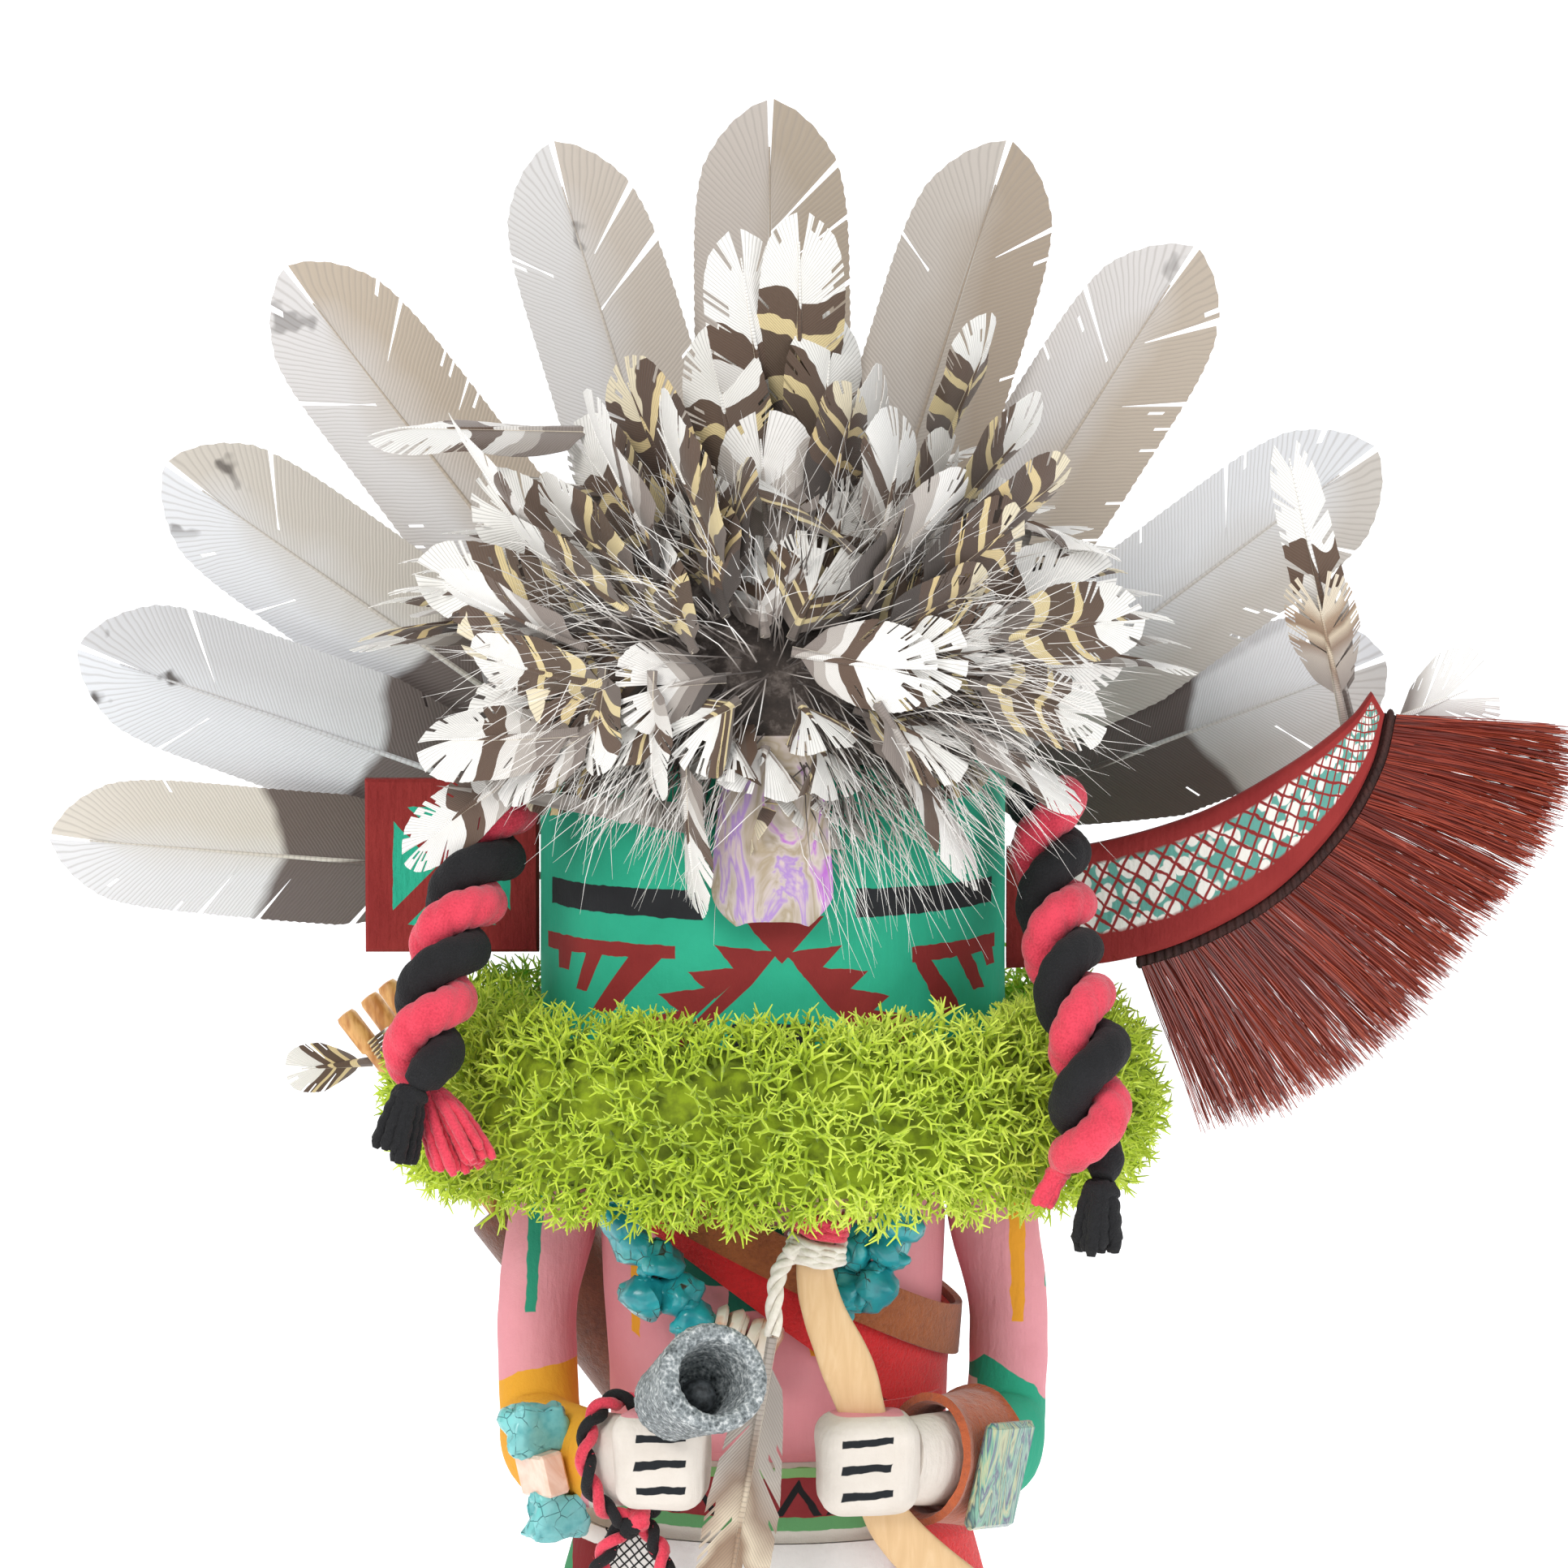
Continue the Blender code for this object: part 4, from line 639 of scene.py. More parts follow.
EYE_BARS = (
    ((-50.8, 264.9), (-50.8, 260.3), (-12.2, 260.1), (-12.2, 265.2)),
    ((14.8, 265.5), (14.8, 260.4), (49.8, 260.7), (49.8, 265.0)),
    ((-7, 242.2), (-7, 236), (7, 236), (7, 242.2)),
)
CHEEK_MARKS = (
    ((-53.3, 255.1), (-53.3, 252.2), (-17.4, 253.1), (-17.4, 255.4)),
    ((-47.5, 252.6), (-42.3, 252.9), (-43.5, 249.0), (-47.5, 249.2)),
    ((-37.6, 253.0), (-33.2, 253.0), (-37.6, 245.9), (-40.9, 246.1)),
    ((-26.6, 253.4), (-19.5, 253.6), (-31.1, 242.5), (-36.2, 242.6)),
    ((26.0, 254.7), (26.0, 251.9), (51.7, 252.4), (51.7, 255.0)),
    ((44.7, 253.2), (49.8, 252.9), (51.7, 249.6), (47.5, 249.5)),
    ((36.3, 252.9), (41.2, 252.7), (46.7, 245.8), (42.3, 245.7)),
    ((26.0, 253.0), (30.0, 252.5), (38.1, 243.3), (32.8, 242.1)),
)
BROW = (((-5.6, 261.0), (9.0, 260.9), (1.6, 252.6)),)
STEPS = (
    ((1.6, 254.6), (-10.3, 255.8), (-5.5, 250.6)), ((-3.0, 252.4), (-15.1, 250.9), (-10.0, 246.4)),
    ((-7.5, 249.0), (-20.9, 246.7), (-14.5, 242.4)), ((-12.0, 245.0), (-26.5, 241.9), (-22.0, 235.0)),
    ((1.6, 254.6), (12.4, 255.8), (7.5, 250.6)), ((5.5, 252.4), (17.1, 251.0), (12.0, 246.4)),
    ((9.0, 249.0), (21.4, 246.5), (16.0, 242.4)), ((13.0, 245.0), (27.2, 242.4), (24.0, 235.0)),
    ((1.6, 255.4), (-2.2, 254.0), (-20.0, 236.0), (-14.0, 236.0)),
    ((1.6, 255.4), (5.0, 254.0), (25.0, 236.0), (17.0, 236.0)),
)
CHIN = (((1.0, 253.2), (-17.5, 236.0), (19.5, 236.0)),)


def make_mask():
    """The cylinder mask, its painted bars, steps and triangles."""
    paint = Paint("mask paint", "mask paint", Roughness=0.72, Specular_IOR_Level=0.3)
    x, y, z = paint.place()
    where = paint.where()
    wobble = paint.noise(where, 330, 2) - 0.5
    around = x.math("ARCTAN2", y * -1) * MASK_RADIUS + wobble * 0.7
    up = z + wobble * 0.8
    front = y.below(0)
    green = mottled(paint, where, "22a07f", "2fb592")
    red = mottled(paint, where, "7c1f20", "96302d")
    black = mottled(paint, where, "16171a", "2a2c30")
    marks = paint.polygons(around, up, CHEEK_MARKS + BROW + STEPS)
    marks = marks * (1 - paint.polygons(around, up, CHIN)) * front
    color = paint.coats(green, (marks, red), (paint.polygons(around, up, EYE_BARS) * front, black))
    hand_paint(paint, where, color, 0.55, 0.35)
    profile = [(0, MASK_TOP), (MASK_RADIUS - 2.2, MASK_TOP)]
    for i in range(6):
        angle = math.pi / 2 * i / 5
        profile.append((MASK_RADIUS - 1.8 + 1.8 * math.sin(angle), MASK_TOP - 1.8 + 1.8 * math.cos(angle)))
    profile += [(MASK_RADIUS, z) for z in np.linspace(MASK_TOP - 6, MASK_BOTTOM, 20)] + [(0, MASK_BOTTOM)]
    bm = lathe(profile, 160)
    roughen(bm, 0.12, 0.09)
    add_piece("mask_carved", bm, paint, "case_mask")


def make_ear_board():
    paint = Paint("ear board paint", "dark red paint", Roughness=0.75, Specular_IOR_Level=0.25)
    where, x, _, z = paint.swayed(300, 0.9)
    low, high = box_of("ear_board")
    middle = (low + high) / 2
    across, up = x - middle.x, z - middle.z
    half = high.x - middle.x
    border = across.size().most(up.size()).above(half - 5.0)
    cross = (across.size() - up.size()).size().below(2.6)
    red = mottled(paint, where, "7a1c1e", "93302c")
    green = mottled(paint, where, "21987c", "2fb291")
    hand_paint(paint, where, paint.mix(border.most(cross), green, red), 0.9, 0.6)
    repaint("ear_board", paint)


HORN_TOP_EDGE = ((0.00, 0.300), (0.22, 0.305), (0.52, 0.390), (0.76, 0.520), (0.92, 0.640), (0.985, 0.720))
HORN_LOW_EDGE = ((0.00, -0.030), (0.27, -0.015), (0.50, 0.050), (0.72, 0.175), (0.89, 0.350),
                 (0.985, 0.520), (1.020, 0.660))
HORN_REACH = 66.0


def horn_edge(rows, count):
    return [Vector((MASK_RADIUS + FIT + out * HORN_REACH, 0, MASK_BOTTOM + 17 + up * HORN_REACH))
            for out, up in smooth_rows(rows, count)]


def make_horn():
    """The crescent board, painted as a net of red lines over white with touches of green."""
    paint = Paint("crescent paint", "dark red paint", Roughness=0.75, Specular_IOR_Level=0.25)
    across, along = paint.uv()
    where = paint.where()
    wobble = (paint.noise(where, 420, 2) - 0.5) * 0.04
    rise = across + wobble
    run = along + wobble * 0.3
    inner = rise.between(0.26, 0.84, 0.03) * run.between(0.06, 0.97, 0.01)
    squares = 28
    one = (run * squares + rise * 5.2).wave()
    other = (run * squares - rise * 5.2).wave()
    net = one.least(other).below(0.10, 0.05)
    dab = paint.cells(paint.point(run * squares * 0.5, rise * 2.6, 0), 2.2)
    red = mottled(paint, where, "7c1d1f", "95302d")
    cell = paint.mix(dab.above(0.52, 0.05), "e6e3dc", "5f9d92")
    hand_paint(paint, where, paint.mix(inner * (1 - net), red, cell), 0.9, 0.5)
    count = 60
    top, low = horn_edge(HORN_TOP_EDGE, count + 1), horn_edge(HORN_LOW_EDGE, count + 1)

    def place(across, along):
        i = round(along * count)
        edge = min(across, 1 - across)
        depth = 2.4 * min(1, 0.55 + edge * 9)
        return low[i].lerp(top[i], across) + Vector((0, -depth, 0))
    bm = warped(16, count, place)
    bmesh.ops.recalc_face_normals(bm, faces=bm.faces)
    back = bm.copy()
    bmesh.ops.scale(back, vec=(1, -1, 1), verts=back.verts)
    join(bm, back)
    loose = [edge for edge in bm.edges if edge.is_boundary]
    bmesh.ops.bridge_loops(bm, edges=loose)
    add_piece("crescent_carved", bm, paint, "wing_horn")


def body_half_sizes(height):
    share = (height - SOLE) / FIGURE_HEIGHT
    shares = [section[0] for section in BODY_SECTIONS]
    return [float(np.interp(share, shares, [section[k] for section in BODY_SECTIONS])) * size
            for k, size in ((1, HALF_WIDTH), (2, HALF_DEPTH))]


BODY_SECTIONS = (
    (0.312, 0.66, 0.68), (0.325, 0.68, 0.70), (0.450, 0.64, 0.65), (0.560, 0.61, 0.61),
    (0.606, 0.565, 0.575), (0.613, 0.50, 0.56), (0.616, 0.495, 0.565), (0.672, 0.490, 0.560),
    (0.676, 0.470, 0.490), (0.735, 0.475, 0.488), (0.805, 0.492, 0.500), (0.866, 0.500, 0.492),
    (0.898, 0.476, 0.460), (0.920, 0.435, 0.420), (0.941, 0.360, 0.370), (0.960, 0.285, 0.325),
    (1.000, 0.265, 0.320),
)


def at_height(share):
    return SOLE + FIGURE_HEIGHT * share


def body_band(low, high, rows, out=0.0, columns=96, wave=None):
    """A closed stretch of the body between two shares of its height."""
    heights = np.linspace(at_height(low), at_height(high), rows + 1)
    sizes = [body_half_sizes(height) for height in heights]

    def place(across, along):
        i = round(along * rows)
        turn = across * TURN
        swell = out + (wave(turn, along) if wave else 0)
        wide, deep = sizes[i]
        return Vector(((wide + swell) * math.cos(turn), (deep + swell) * math.sin(turn), heights[i]))
    return warped(columns, rows, place, closed=True, capped=True)


def make_body():
    """Torso, belt, kilt, legs and moccasins, each in its own paint."""
    skin = Paint("pink body paint", "painted body", Roughness=0.8, Specular_IOR_Level=0.25)
    where, across, y, up = skin.swayed(260, 1.6)
    pink = mottled(skin, where, "d98891", "e39aa1")
    # A green patch on the chest under the strap. It is the doll's own green paint, mixed in a darker tone
    # (23705c) as painted shade from the strap.
    chest_green_in_painted_shade = skin.polygons(across, up, (((-19, 206), (-20, 194), (-6, 193), (-5, 206)),
                                       ((-8, 204), (-8, 188), (2, 190), (2, 204))))
    stripes = skin.polygons(across, up, (((-25.6, 201), (-25.2, 183.5), (-23.6, 182.5), (-23.4, 201)),
                                         ((20, 210), (20.5, 200.5), (24, 200), (24, 210)),
                                         ((5.5, 184), (6.5, 180.5), (9.5, 180.5), (9.8, 184))))
    front = y.below(0)
    color = skin.coats(pink, (chest_green_in_painted_shade * front, "23705c"), (stripes * front, "e39a2c"))
    hand_paint(skin, where, color, 0.7, 0.5)
    torso = body_band(0.674, 1.0, 60)
    bmesh.ops.smooth_vert(torso, verts=[v for v in torso.verts if v.co.z > at_height(0.69)], factor=0.5,
                          use_axis_x=True, use_axis_y=True)
    add_piece("torso_carved", torso, skin, "figure")

    belt = Paint("painted belt", "painted body", Roughness=0.75, Specular_IOR_Level=0.25)
    where, across, _, up = belt.swayed(300, 0.7)
    red = mottled(belt, where, "7c2327", "933437")
    run = across * 0.11
    steps = (run.wave() * 14 + 151.2 - up).size().below(1.1, 0.2) * up.between(152.8, 159.2)
    color = belt.coats(red, (up.above(159.6), "7fae6c"), (up.above(161.4), "d8d4cc"),
                       (up.below(152.6), "5f9a63"), (up.below(150.2), "c9c4ba"), (steps, "18181a"))
    hand_paint(belt, where, color, 0.7, 0.4)
    add_piece("belt_carved", body_band(0.608, 0.6745, 16), belt, "figure")

    kilt = Paint("painted kilt", "painted body", Roughness=0.82, Specular_IOR_Level=0.2)
    where, across, y, up = kilt.swayed(260, 0.7)
    white = mottled(kilt, where, "dcdad6", "eeecea")
    panel = across.between(-60, -16.5) * y.below(6)
    local = across + 23
    rise = up - 135
    ring = local.size().most(rise.size())
    spiral = ring.between(4.6, 5.8).most(ring.between(1.7, 2.9)).most(
        kilt.polygons(local, rise, (((-0.5, 0.6), (-0.5, -0.6), (3, -0.6), (3, 0.6)),)))
    rising, falling = across * 0.55 + up * 0.55, across * 0.55 - up * 0.55
    hatch = rising.wave().below(0.12).most(falling.wave().below(0.12))
    bars = (up * 0.085).wave().below(0.09)
    black = spiral.most(hatch * rise.above(6.2) * local.between(-7, 3)).most(bars * up.below(128))
    color = kilt.coats(
        white, (panel * black, "17171a"), (panel * across.below(-30) * up.below(145), "7a2326"),
        (panel * across.below(-36), "3f8a5d"), (up.below(92.5) * (up * 0.3).wave().below(0.2), "1b1b1d"),
        (up.between(88.5, 91), "7a2326"))
    hand_paint(kilt, where, color, 0.6, 0.4)
    folds = lambda turn, along: 0.35 * math.sin(turn * 14) * (1 - along)
    add_piece("kilt_carved", body_band(0.312, 0.607, 60, -0.1, 120, folds), kilt, "figure")

    legs = bmesh.new()
    shoes = bmesh.new()
    for side_sign in (-1, 1):
        hem = at_height(0.312)
        rows = smooth_rows(((SOLE + 12, 9.0), (SOLE + 19, 8.4), ((SOLE + hem) / 2, 10.0), (hem, 9.0),
                            (hem + 3, 9.0)), 24)
        points = [Vector((side_sign * 16, 0, row[0])) for row in rows]
        shape = lambda turn, along: (rows[round(along * 23)][1], rows[round(along * 23)][1])
        join(legs, tube(points, shape, 32))
        rows = smooth_rows(((11, 0.50, 0.70), (7, 0.86, 0.97), (0, 0.92, 1.0), (-15, 0.96, 0.74),
                            (-26, 1.0, 0.54), (-33, 0.60, 0.32)), 30)

        def place(across, along):
            depth, width, height = rows[round(along * 29)]
            turn = across * TURN
            flat = math.copysign(abs(math.cos(turn)) ** 0.6, math.cos(turn))
            rise = max(0, math.sin(turn)) ** 0.75 * 19 * height
            return Vector((side_sign * 16 + 10.5 * width * flat, depth, SOLE + rise))
        join(shoes, warped(32, 29, place, closed=True, capped=True))
    shoe = Paint("painted moccasin", "painted body", Roughness=0.8, Specular_IOR_Level=0.2)
    where, _, _, up = shoe.swayed(260, 1)
    color = shoe.coats(mottled(shoe, where, "8f3430", "a8423a"), (up.below(SOLE + 2.2), "e8e4da"),
                       (up.above(SOLE + 15.5), "2a9d7f"))
    hand_paint(shoe, where, color, 0.6, 0.4)
    add_piece("moccasins_carved", shoes, shoe, "figure")
    add_piece("legs_carved", legs, skin, "figure")


def make_base():
    paint = Paint("base wood", "base wood", Roughness=0.55)
    where = paint.where()
    rings = paint.noise(paint.stretched(where, 6, 0.7, 6), 60, 4, 0.6, 1.5)
    pores = paint.noise(paint.stretched(where, 40, 3, 40), 60, 2)
    color = paint.ramp(rings, (0.25, "7a5330"), (0.5, "9a6d42"), (0.75, "b08657"))
    color = paint.mix(pores.above(0.62, 0.1) * 0.5, color, "5b3a20")
    paint.set(Base_Color=color, Roughness=rings * 0.2 + 0.42)
    paint.bump(rings * 0.4 + pores * 0.4, 0.5, 0.3)
    profile = [(0, 18), (57.6, 18)]
    for i in range(7):
        angle = math.pi / 2 * i / 6
        profile.append((58 + 2 * math.sin(angle), 16 + 2 * math.cos(angle)))
    profile += [(60, 1.0), (59.2, 0), (0, 0)]
    add_piece("base_turned", lathe(profile, 160), paint, "base")


ARM_ROWS = (
    (0.00, 0.00, 1.00, 0.45, 0.45), (0.00, 0.00, 0.62, 0.86, 0.86), (0.00, 0.00, 0.00, 1.00, 1.00),
    (0.34, 0.10, -1.80, 0.90, 0.96), (0.38, 0.22, -3.20, 0.88, 1.00), (0.30, 0.60, -4.45, 0.90, 1.12),
    (0.18, 1.42, -5.05, 0.94, 1.26), (-0.36, 2.60, -5.05, 0.90, 1.18), (-0.96, 3.65, -4.95, 0.84, 1.10),
    (-1.60, 4.60, -4.80, 0.76, 1.02), (-2.15, 5.20, -4.70, 0.70, 0.95),
)
SHOULDER = 8.0
SHOULDER_OUT = 39.3
SHOULDER_HEIGHT = at_height(0.866)
FIST_SIZES = {-1: (16.4, 14, 17.6), 1: (18, 14, 18)}
FIST_SHARES = {-1: (-2.50, 5.35, -4.62), 1: (-2.84, 5.35, -4.72)}


def from_shoulder(side_sign, out, ahead, rise):
    """A place measured from the shoulder, in shares of its radius."""
    return Vector((side_sign * (SHOULDER_OUT + out * SHOULDER), -ahead * SHOULDER,
                   SHOULDER_HEIGHT + rise * SHOULDER))


def arm_frames(side_sign, count):
    """Frames and half sizes along an arm, as in the part's source."""
    rows = smooth_rows(ARM_ROWS, count)
    points = [from_shoulder(side_sign, *row[:3]) for row in rows]
    frames = frames_along(points, Vector((1, 0, 0)))
    return [(frame, row[3] * SHOULDER, row[4] * SHOULDER) for frame, row in zip(frames, rows)]


def fist_centre(side_sign):
    return from_shoulder(side_sign, *FIST_SHARES[side_sign])


# Painted places on the arms as seen from the front: (colour, corners)
ARM_MARKS = {
    -1: (("2b8f72", ((-43.6, 214), (-40.2, 214), (-42.4, 186), (-44.2, 186))),
         ("e39a2c", ((-60, 215), (-46.6, 215), (-47.4, 204), (-60, 204))),
         ("e0a030", ((-60, 173), (-45.5, 175.5), (-40.5, 179), (-34, 178), (-30, 171), (-36, 150),
                     (-60, 150)))),
    1: (("e39a2c", ((41.5, 214), (45.2, 214), (45.0, 184.5), (42.8, 184.5))),
        ("2b8f72", ((49.6, 215), (60, 215), (60, 180), (48.8, 190))),
        ("2b9c7c", ((33, 174), (38, 178.5), (43, 177.5), (46.5, 173), (60, 165), (60, 150), (34, 150)))),
}


def make_arm(side_sign, name):
    """An arm carved by itself, its stripes, and a fist with three finger strokes."""
    paint = Paint(f"{name} paint", "painted body", Roughness=0.8, Specular_IOR_Level=0.25)
    x, _, z = paint.place()
    where, across, y, up = paint.swayed(240, 1.4)
    color = paint.coats(mottled(paint, where, "d68a93", "e39ca4"), *(
        (paint.polygon(across, up, corners), mark) for mark, corners in ARM_MARKS[side_sign]))
    centre = fist_centre(side_sign)
    wrist = centre.x * side_sign + (20 if side_sign > 0 else 13)
    hand = (x * side_sign).below(wrist) * z.below(174)
    strokes = []
    for rise in (4.3, -0.2, -4.9):
        middle = centre.z + rise
        strokes.append(((centre.x - 4.6, middle - 0.7), (centre.x + 4.2, middle - 0.1),
                        (centre.x + 4.4, middle + 1.2), (centre.x - 4.4, middle + 0.8)))
    color = paint.coats(color, (hand, mottled(paint, where, "cfc6bc", "ddd5cc", 120)),
                        (paint.polygons(across, up, strokes) * y.below(centre.y - 4), "1d2024"))
    hand_paint(paint, where, color, 0.8, 0.5)
    stretch = arm_frames(side_sign, 81)
    arm = tube(None, lambda turn, along: stretch[round(along * 80)][1:], 40,
               frames=[row[0] for row in stretch])
    roughen(arm, 0.25, 0.15, side_sign)
    fist = bmesh.new()
    size = FIST_SIZES[side_sign]
    bmesh.ops.create_cube(fist, size=1, matrix=Matrix.Diagonal((size[0] - 0.3, size[1], size[2], 1)))
    round_edges(fist, 4.4, 5, 2)
    bmesh.ops.smooth_vert(fist, verts=fist.verts, factor=0.5, use_axis_x=True, use_axis_y=True,
                          use_axis_z=True)
    roughen(fist, 0.5, 0.13, side_sign * 3)
    turn = Matrix.Rotation(side_sign * math.radians(10), 4, "Z")
    bmesh.ops.transform(fist, matrix=Matrix.Translation(centre) @ turn, verts=fist.verts)
    join(arm, fist)
    add_piece(f"{name}_carved", arm, paint, name)


# Feathers

def feather(root, along, face, length, half, quill, rows=50, columns=4, bow=0.0, sweep=0.0, camber=0.12,
            slant=0.95, tip_slant=0.18, taper=0.3, splits=(), fray=0.0, thick=0.14, number=0.0,
            blunt=8, loose=0.6):
    """A feather whose rows of faces follow its barbs.

    splits are (side, place along, how far out it opens, gap); fray is the share of outer faces that are lost.
    """
    along = along.normalized()
    face = (face - along * face.dot(along)).normalized()
    across = along.cross(face)

    def line(distance):
        share = distance / length
        return root + along * distance + face * bow * share ** 2 + across * sweep * share ** 2

    barb = half / math.sin(slant)
    reach = length - barb * 0.9
    half_row = (reach - quill) / rows / 2
    slits = [(side, int(row * rows), start, gap) for side, row, start, gap in splits]

    def place(u, v):
        side = 2 * u - 1
        out = abs(side)
        row = v * rows
        lean = slant + (tip_slant - slant) * v ** blunt
        shape = min(1.0, taper + (1 - taper) * min(1, v / 0.35) ** 0.7) * (1 - 0.12 * max(0, v - 0.9) / 0.1)
        size = barb * shape * (1 + 0.008 * math.sin(row * 1.9 + number * 7 + side))
        shift = 0.0
        for split_side, split_row, start, gap in slits:
            if split_side * side > 0 and out > start:
                ahead = 1 if row > split_row + 0.5 else -1
                near = math.exp(-abs(row - split_row) / (rows * 0.06))
                shift += ahead * (gap * 0.5 * (out - start) / (1 - start) - half_row) * near
        base = line(quill + (reach - quill) * v)
        curl = camber * half * out ** 2 * (0.75 + 0.25 * math.sin(v * 9 + number * 5))
        return (base + along * (math.cos(lean) * size * out + shift) + across * math.sin(lean) * size * side
                - face * curl)
    bm = warped(columns * 2, rows, place)
    bm.faces.ensure_lookup_table()
    lost = set()
    for split_side, split_row, start, _ in slits:
        for column in range(columns * 2):
            side = (column + 0.5) / columns - 1
            if side * split_side > 0 and abs(side) > start:
                lost.add(split_row * columns * 2 + column)
    if fray:
        outer = [k for k in range(columns * 2) if abs((k + 0.5) / columns - 1) > loose]
        for row in range(0, rows, 2):
            for k in outer:
                edge = abs((k + 0.5) / columns - 1)
                if chance.random() < fray * (edge - 0.4) * 1.7 * (0.3 + row / rows) ** 2:
                    lost.add(row * columns * 2 + k)
    bmesh.ops.delete(bm, geom=[bm.faces[k] for k in lost if k < len(bm.faces)], context="FACES")
    bmesh.ops.solidify(bm, geom=bm.faces[:], thickness=thick)
    shaft = [line(distance) for distance in np.linspace(0, reach + barb * 0.4, 16)]
    thickness = lambda turn, along: (max(0.16, 0.95 * (1 - along) ** 0.8),) * 2
    join(bm, tube(shaft, thickness, 6, across))
    number_verts(bm, "seed", number)
    return bm


QUILL_BARBS = 110


def quill_paint(name, pale, warm, dark_end, fleck):
    """Smooth barbs of a quill feather: fine slanting lines, a warm side and a dark foot."""
    paint = Paint(name, "pale feather", Sheen_Weight=0.15, Roughness=0.55)
    u, v = paint.uv()
    where = paint.where()
    cloud = paint.noise(where, 38, 3)
    side = u - 0.5
    color = paint.mix((side * 1.4 + cloud * 0.9 - 0.45).between(0.05, 9, 0.6), pale, warm)
    barbs = (v * QUILL_BARBS + paint.noise(where, 150, 1) * 1.2).wave() * 2
    color = paint.mix(barbs.below(0.25, 0.4) * 0.35, color, "8d857e")
    if dark_end:
        wedge = (v + side.size() * 0.12 + cloud * 0.16).below(dark_end + 0.10, 0.03)
        color = paint.mix(wedge * 0.92, color, "4b3a33")
    if fleck:
        spots = paint.noise(where, 130, 2).above(0.66, 0.06) * v.above(0.93, 0.03)
        color = paint.mix(spots * fleck, color, "3a302a")
    color = paint.mix(side.size().below(0.012, 0.012), color, "c9c4be")
    paint.set(Base_Color=color)
    return paint.bump(barbs, 0.35, 0.12)


# Each fan feather: direction, reach, width, bare length, then pale and warm tones, dark foot, fleck,
# fray and splits
FAN = (
    (176.0, 134, 25, 50, "d9d9db", "cfc8bd", 0.60, 0, 0.04,
     ((-1, 0.32, 0.2, 1.2), (-1, 0.55, 0.3, 0.9), (-1, 0.69, 0.3, 1.1))),
    (160.0, 136, 28, 46, "d6d8dc", "c6c6c8", 0.42, 0.9, 0.025, ((1, 0.84, 0.1, 1.0), (-1, 0.81, 0.4, 0.7))),
    (144.6, 137, 28, 46, "d4d5d8", "bfb8ae", 0.44, 0.8, 0.03, ((-1, 0.71, 0.5, 0.8), (1, 0.87, 0.2, 0.9))),
    (128.2, 146, 28, 46, "cdcac9", "b3a594", 0.0, 0.5, 0.05,
     ((-1, 0.82, 0.2, 1.1), (1, 0.85, 0.3, 0.9), (1, 0.65, 0.6, 0.7))),
    (106.0, 144, 28, 46, "cbc9c8", "bab0a5", 0.0, 0.8, 0.025,
     ((1, 0.81, 0.05, 1.8), (1, 0.9, 0.1, 1.3), (-1, 0.84, 0.5, 0.7))),
    (90.2, 146, 29, 46, "b5aca4", "a39584", 0.0, 0, 0.015,
     ((1, 0.9, 0.0, 1.1), (1, 0.69, 0.1, 1.1), (1, 0.82, 0.2, 0.8))),
    (73.0, 145, 28, 46, "b8b0a8", "a09180", 0.0, 0, 0.015, ((1, 0.89, 0.3, 0.9), (-1, 0.81, 0.5, 0.7))),
    (56.4, 142, 28, 46, "cecac8", "b4a798", 0.0, 0.4, 0.05,
     ((1, 0.92, 0.1, 1.3), (-1, 0.85, 0.2, 1.1), (1, 0.77, 0.3, 1.0))),
    (36.5, 138, 28, 46, "d4d5d8", "beb8b1", 0.20, 0.3, 0.03, ((-1, 0.77, 0.3, 0.9), (1, 0.87, 0.5, 0.7))),
    (21.5, 121, 28, 50, "d8d9dc", "c4c1be", 0.58, 0, 0.025, ((1, 0.81, 0.4, 0.8),)),
)
FAN_CENTRE_HEIGHT = 256.0
FAN_ROOT = 13.0
FAN_TILT = math.radians(9)


def make_fan():
    for number, row in enumerate(FAN, start=1):
        degrees, reach, width, bare, pale, warm, dark, fleck, fray, splits = row
        angle = math.radians(degrees)
        along = Vector((math.cos(angle), 0, math.sin(angle)))
        across = Vector((-math.sin(angle), 0, math.cos(angle)))
        face = Vector((0, -1, 0)) * math.cos(FAN_TILT) + across * math.sin(FAN_TILT)
        x = FAN_ROOT * along.x
        root = Vector((x, math.sqrt(MASK_RADIUS ** 2 - x ** 2) + 1.5, FAN_CENTRE_HEIGHT + FAN_ROOT * along.z))
        paint = quill_paint(f"fan feather {number}", pale, warm, dark, fleck)
        bm = feather(root, along, face, reach - FAN_ROOT, width / 2, bare - FAN_ROOT - 6, rows=150, columns=6,
                     bow=1.6, sweep=1.5 * math.sin(number * 2.1), camber=0.13, splits=splits, fray=fray,
                     taper=0.34, tip_slant=0.04, thick=0.2, number=number / 10, blunt=16, loose=0.7)
        add_piece(f"fan_feather_{number:02d}_vane", bm, paint, f"fan_feather_{number:02d}")


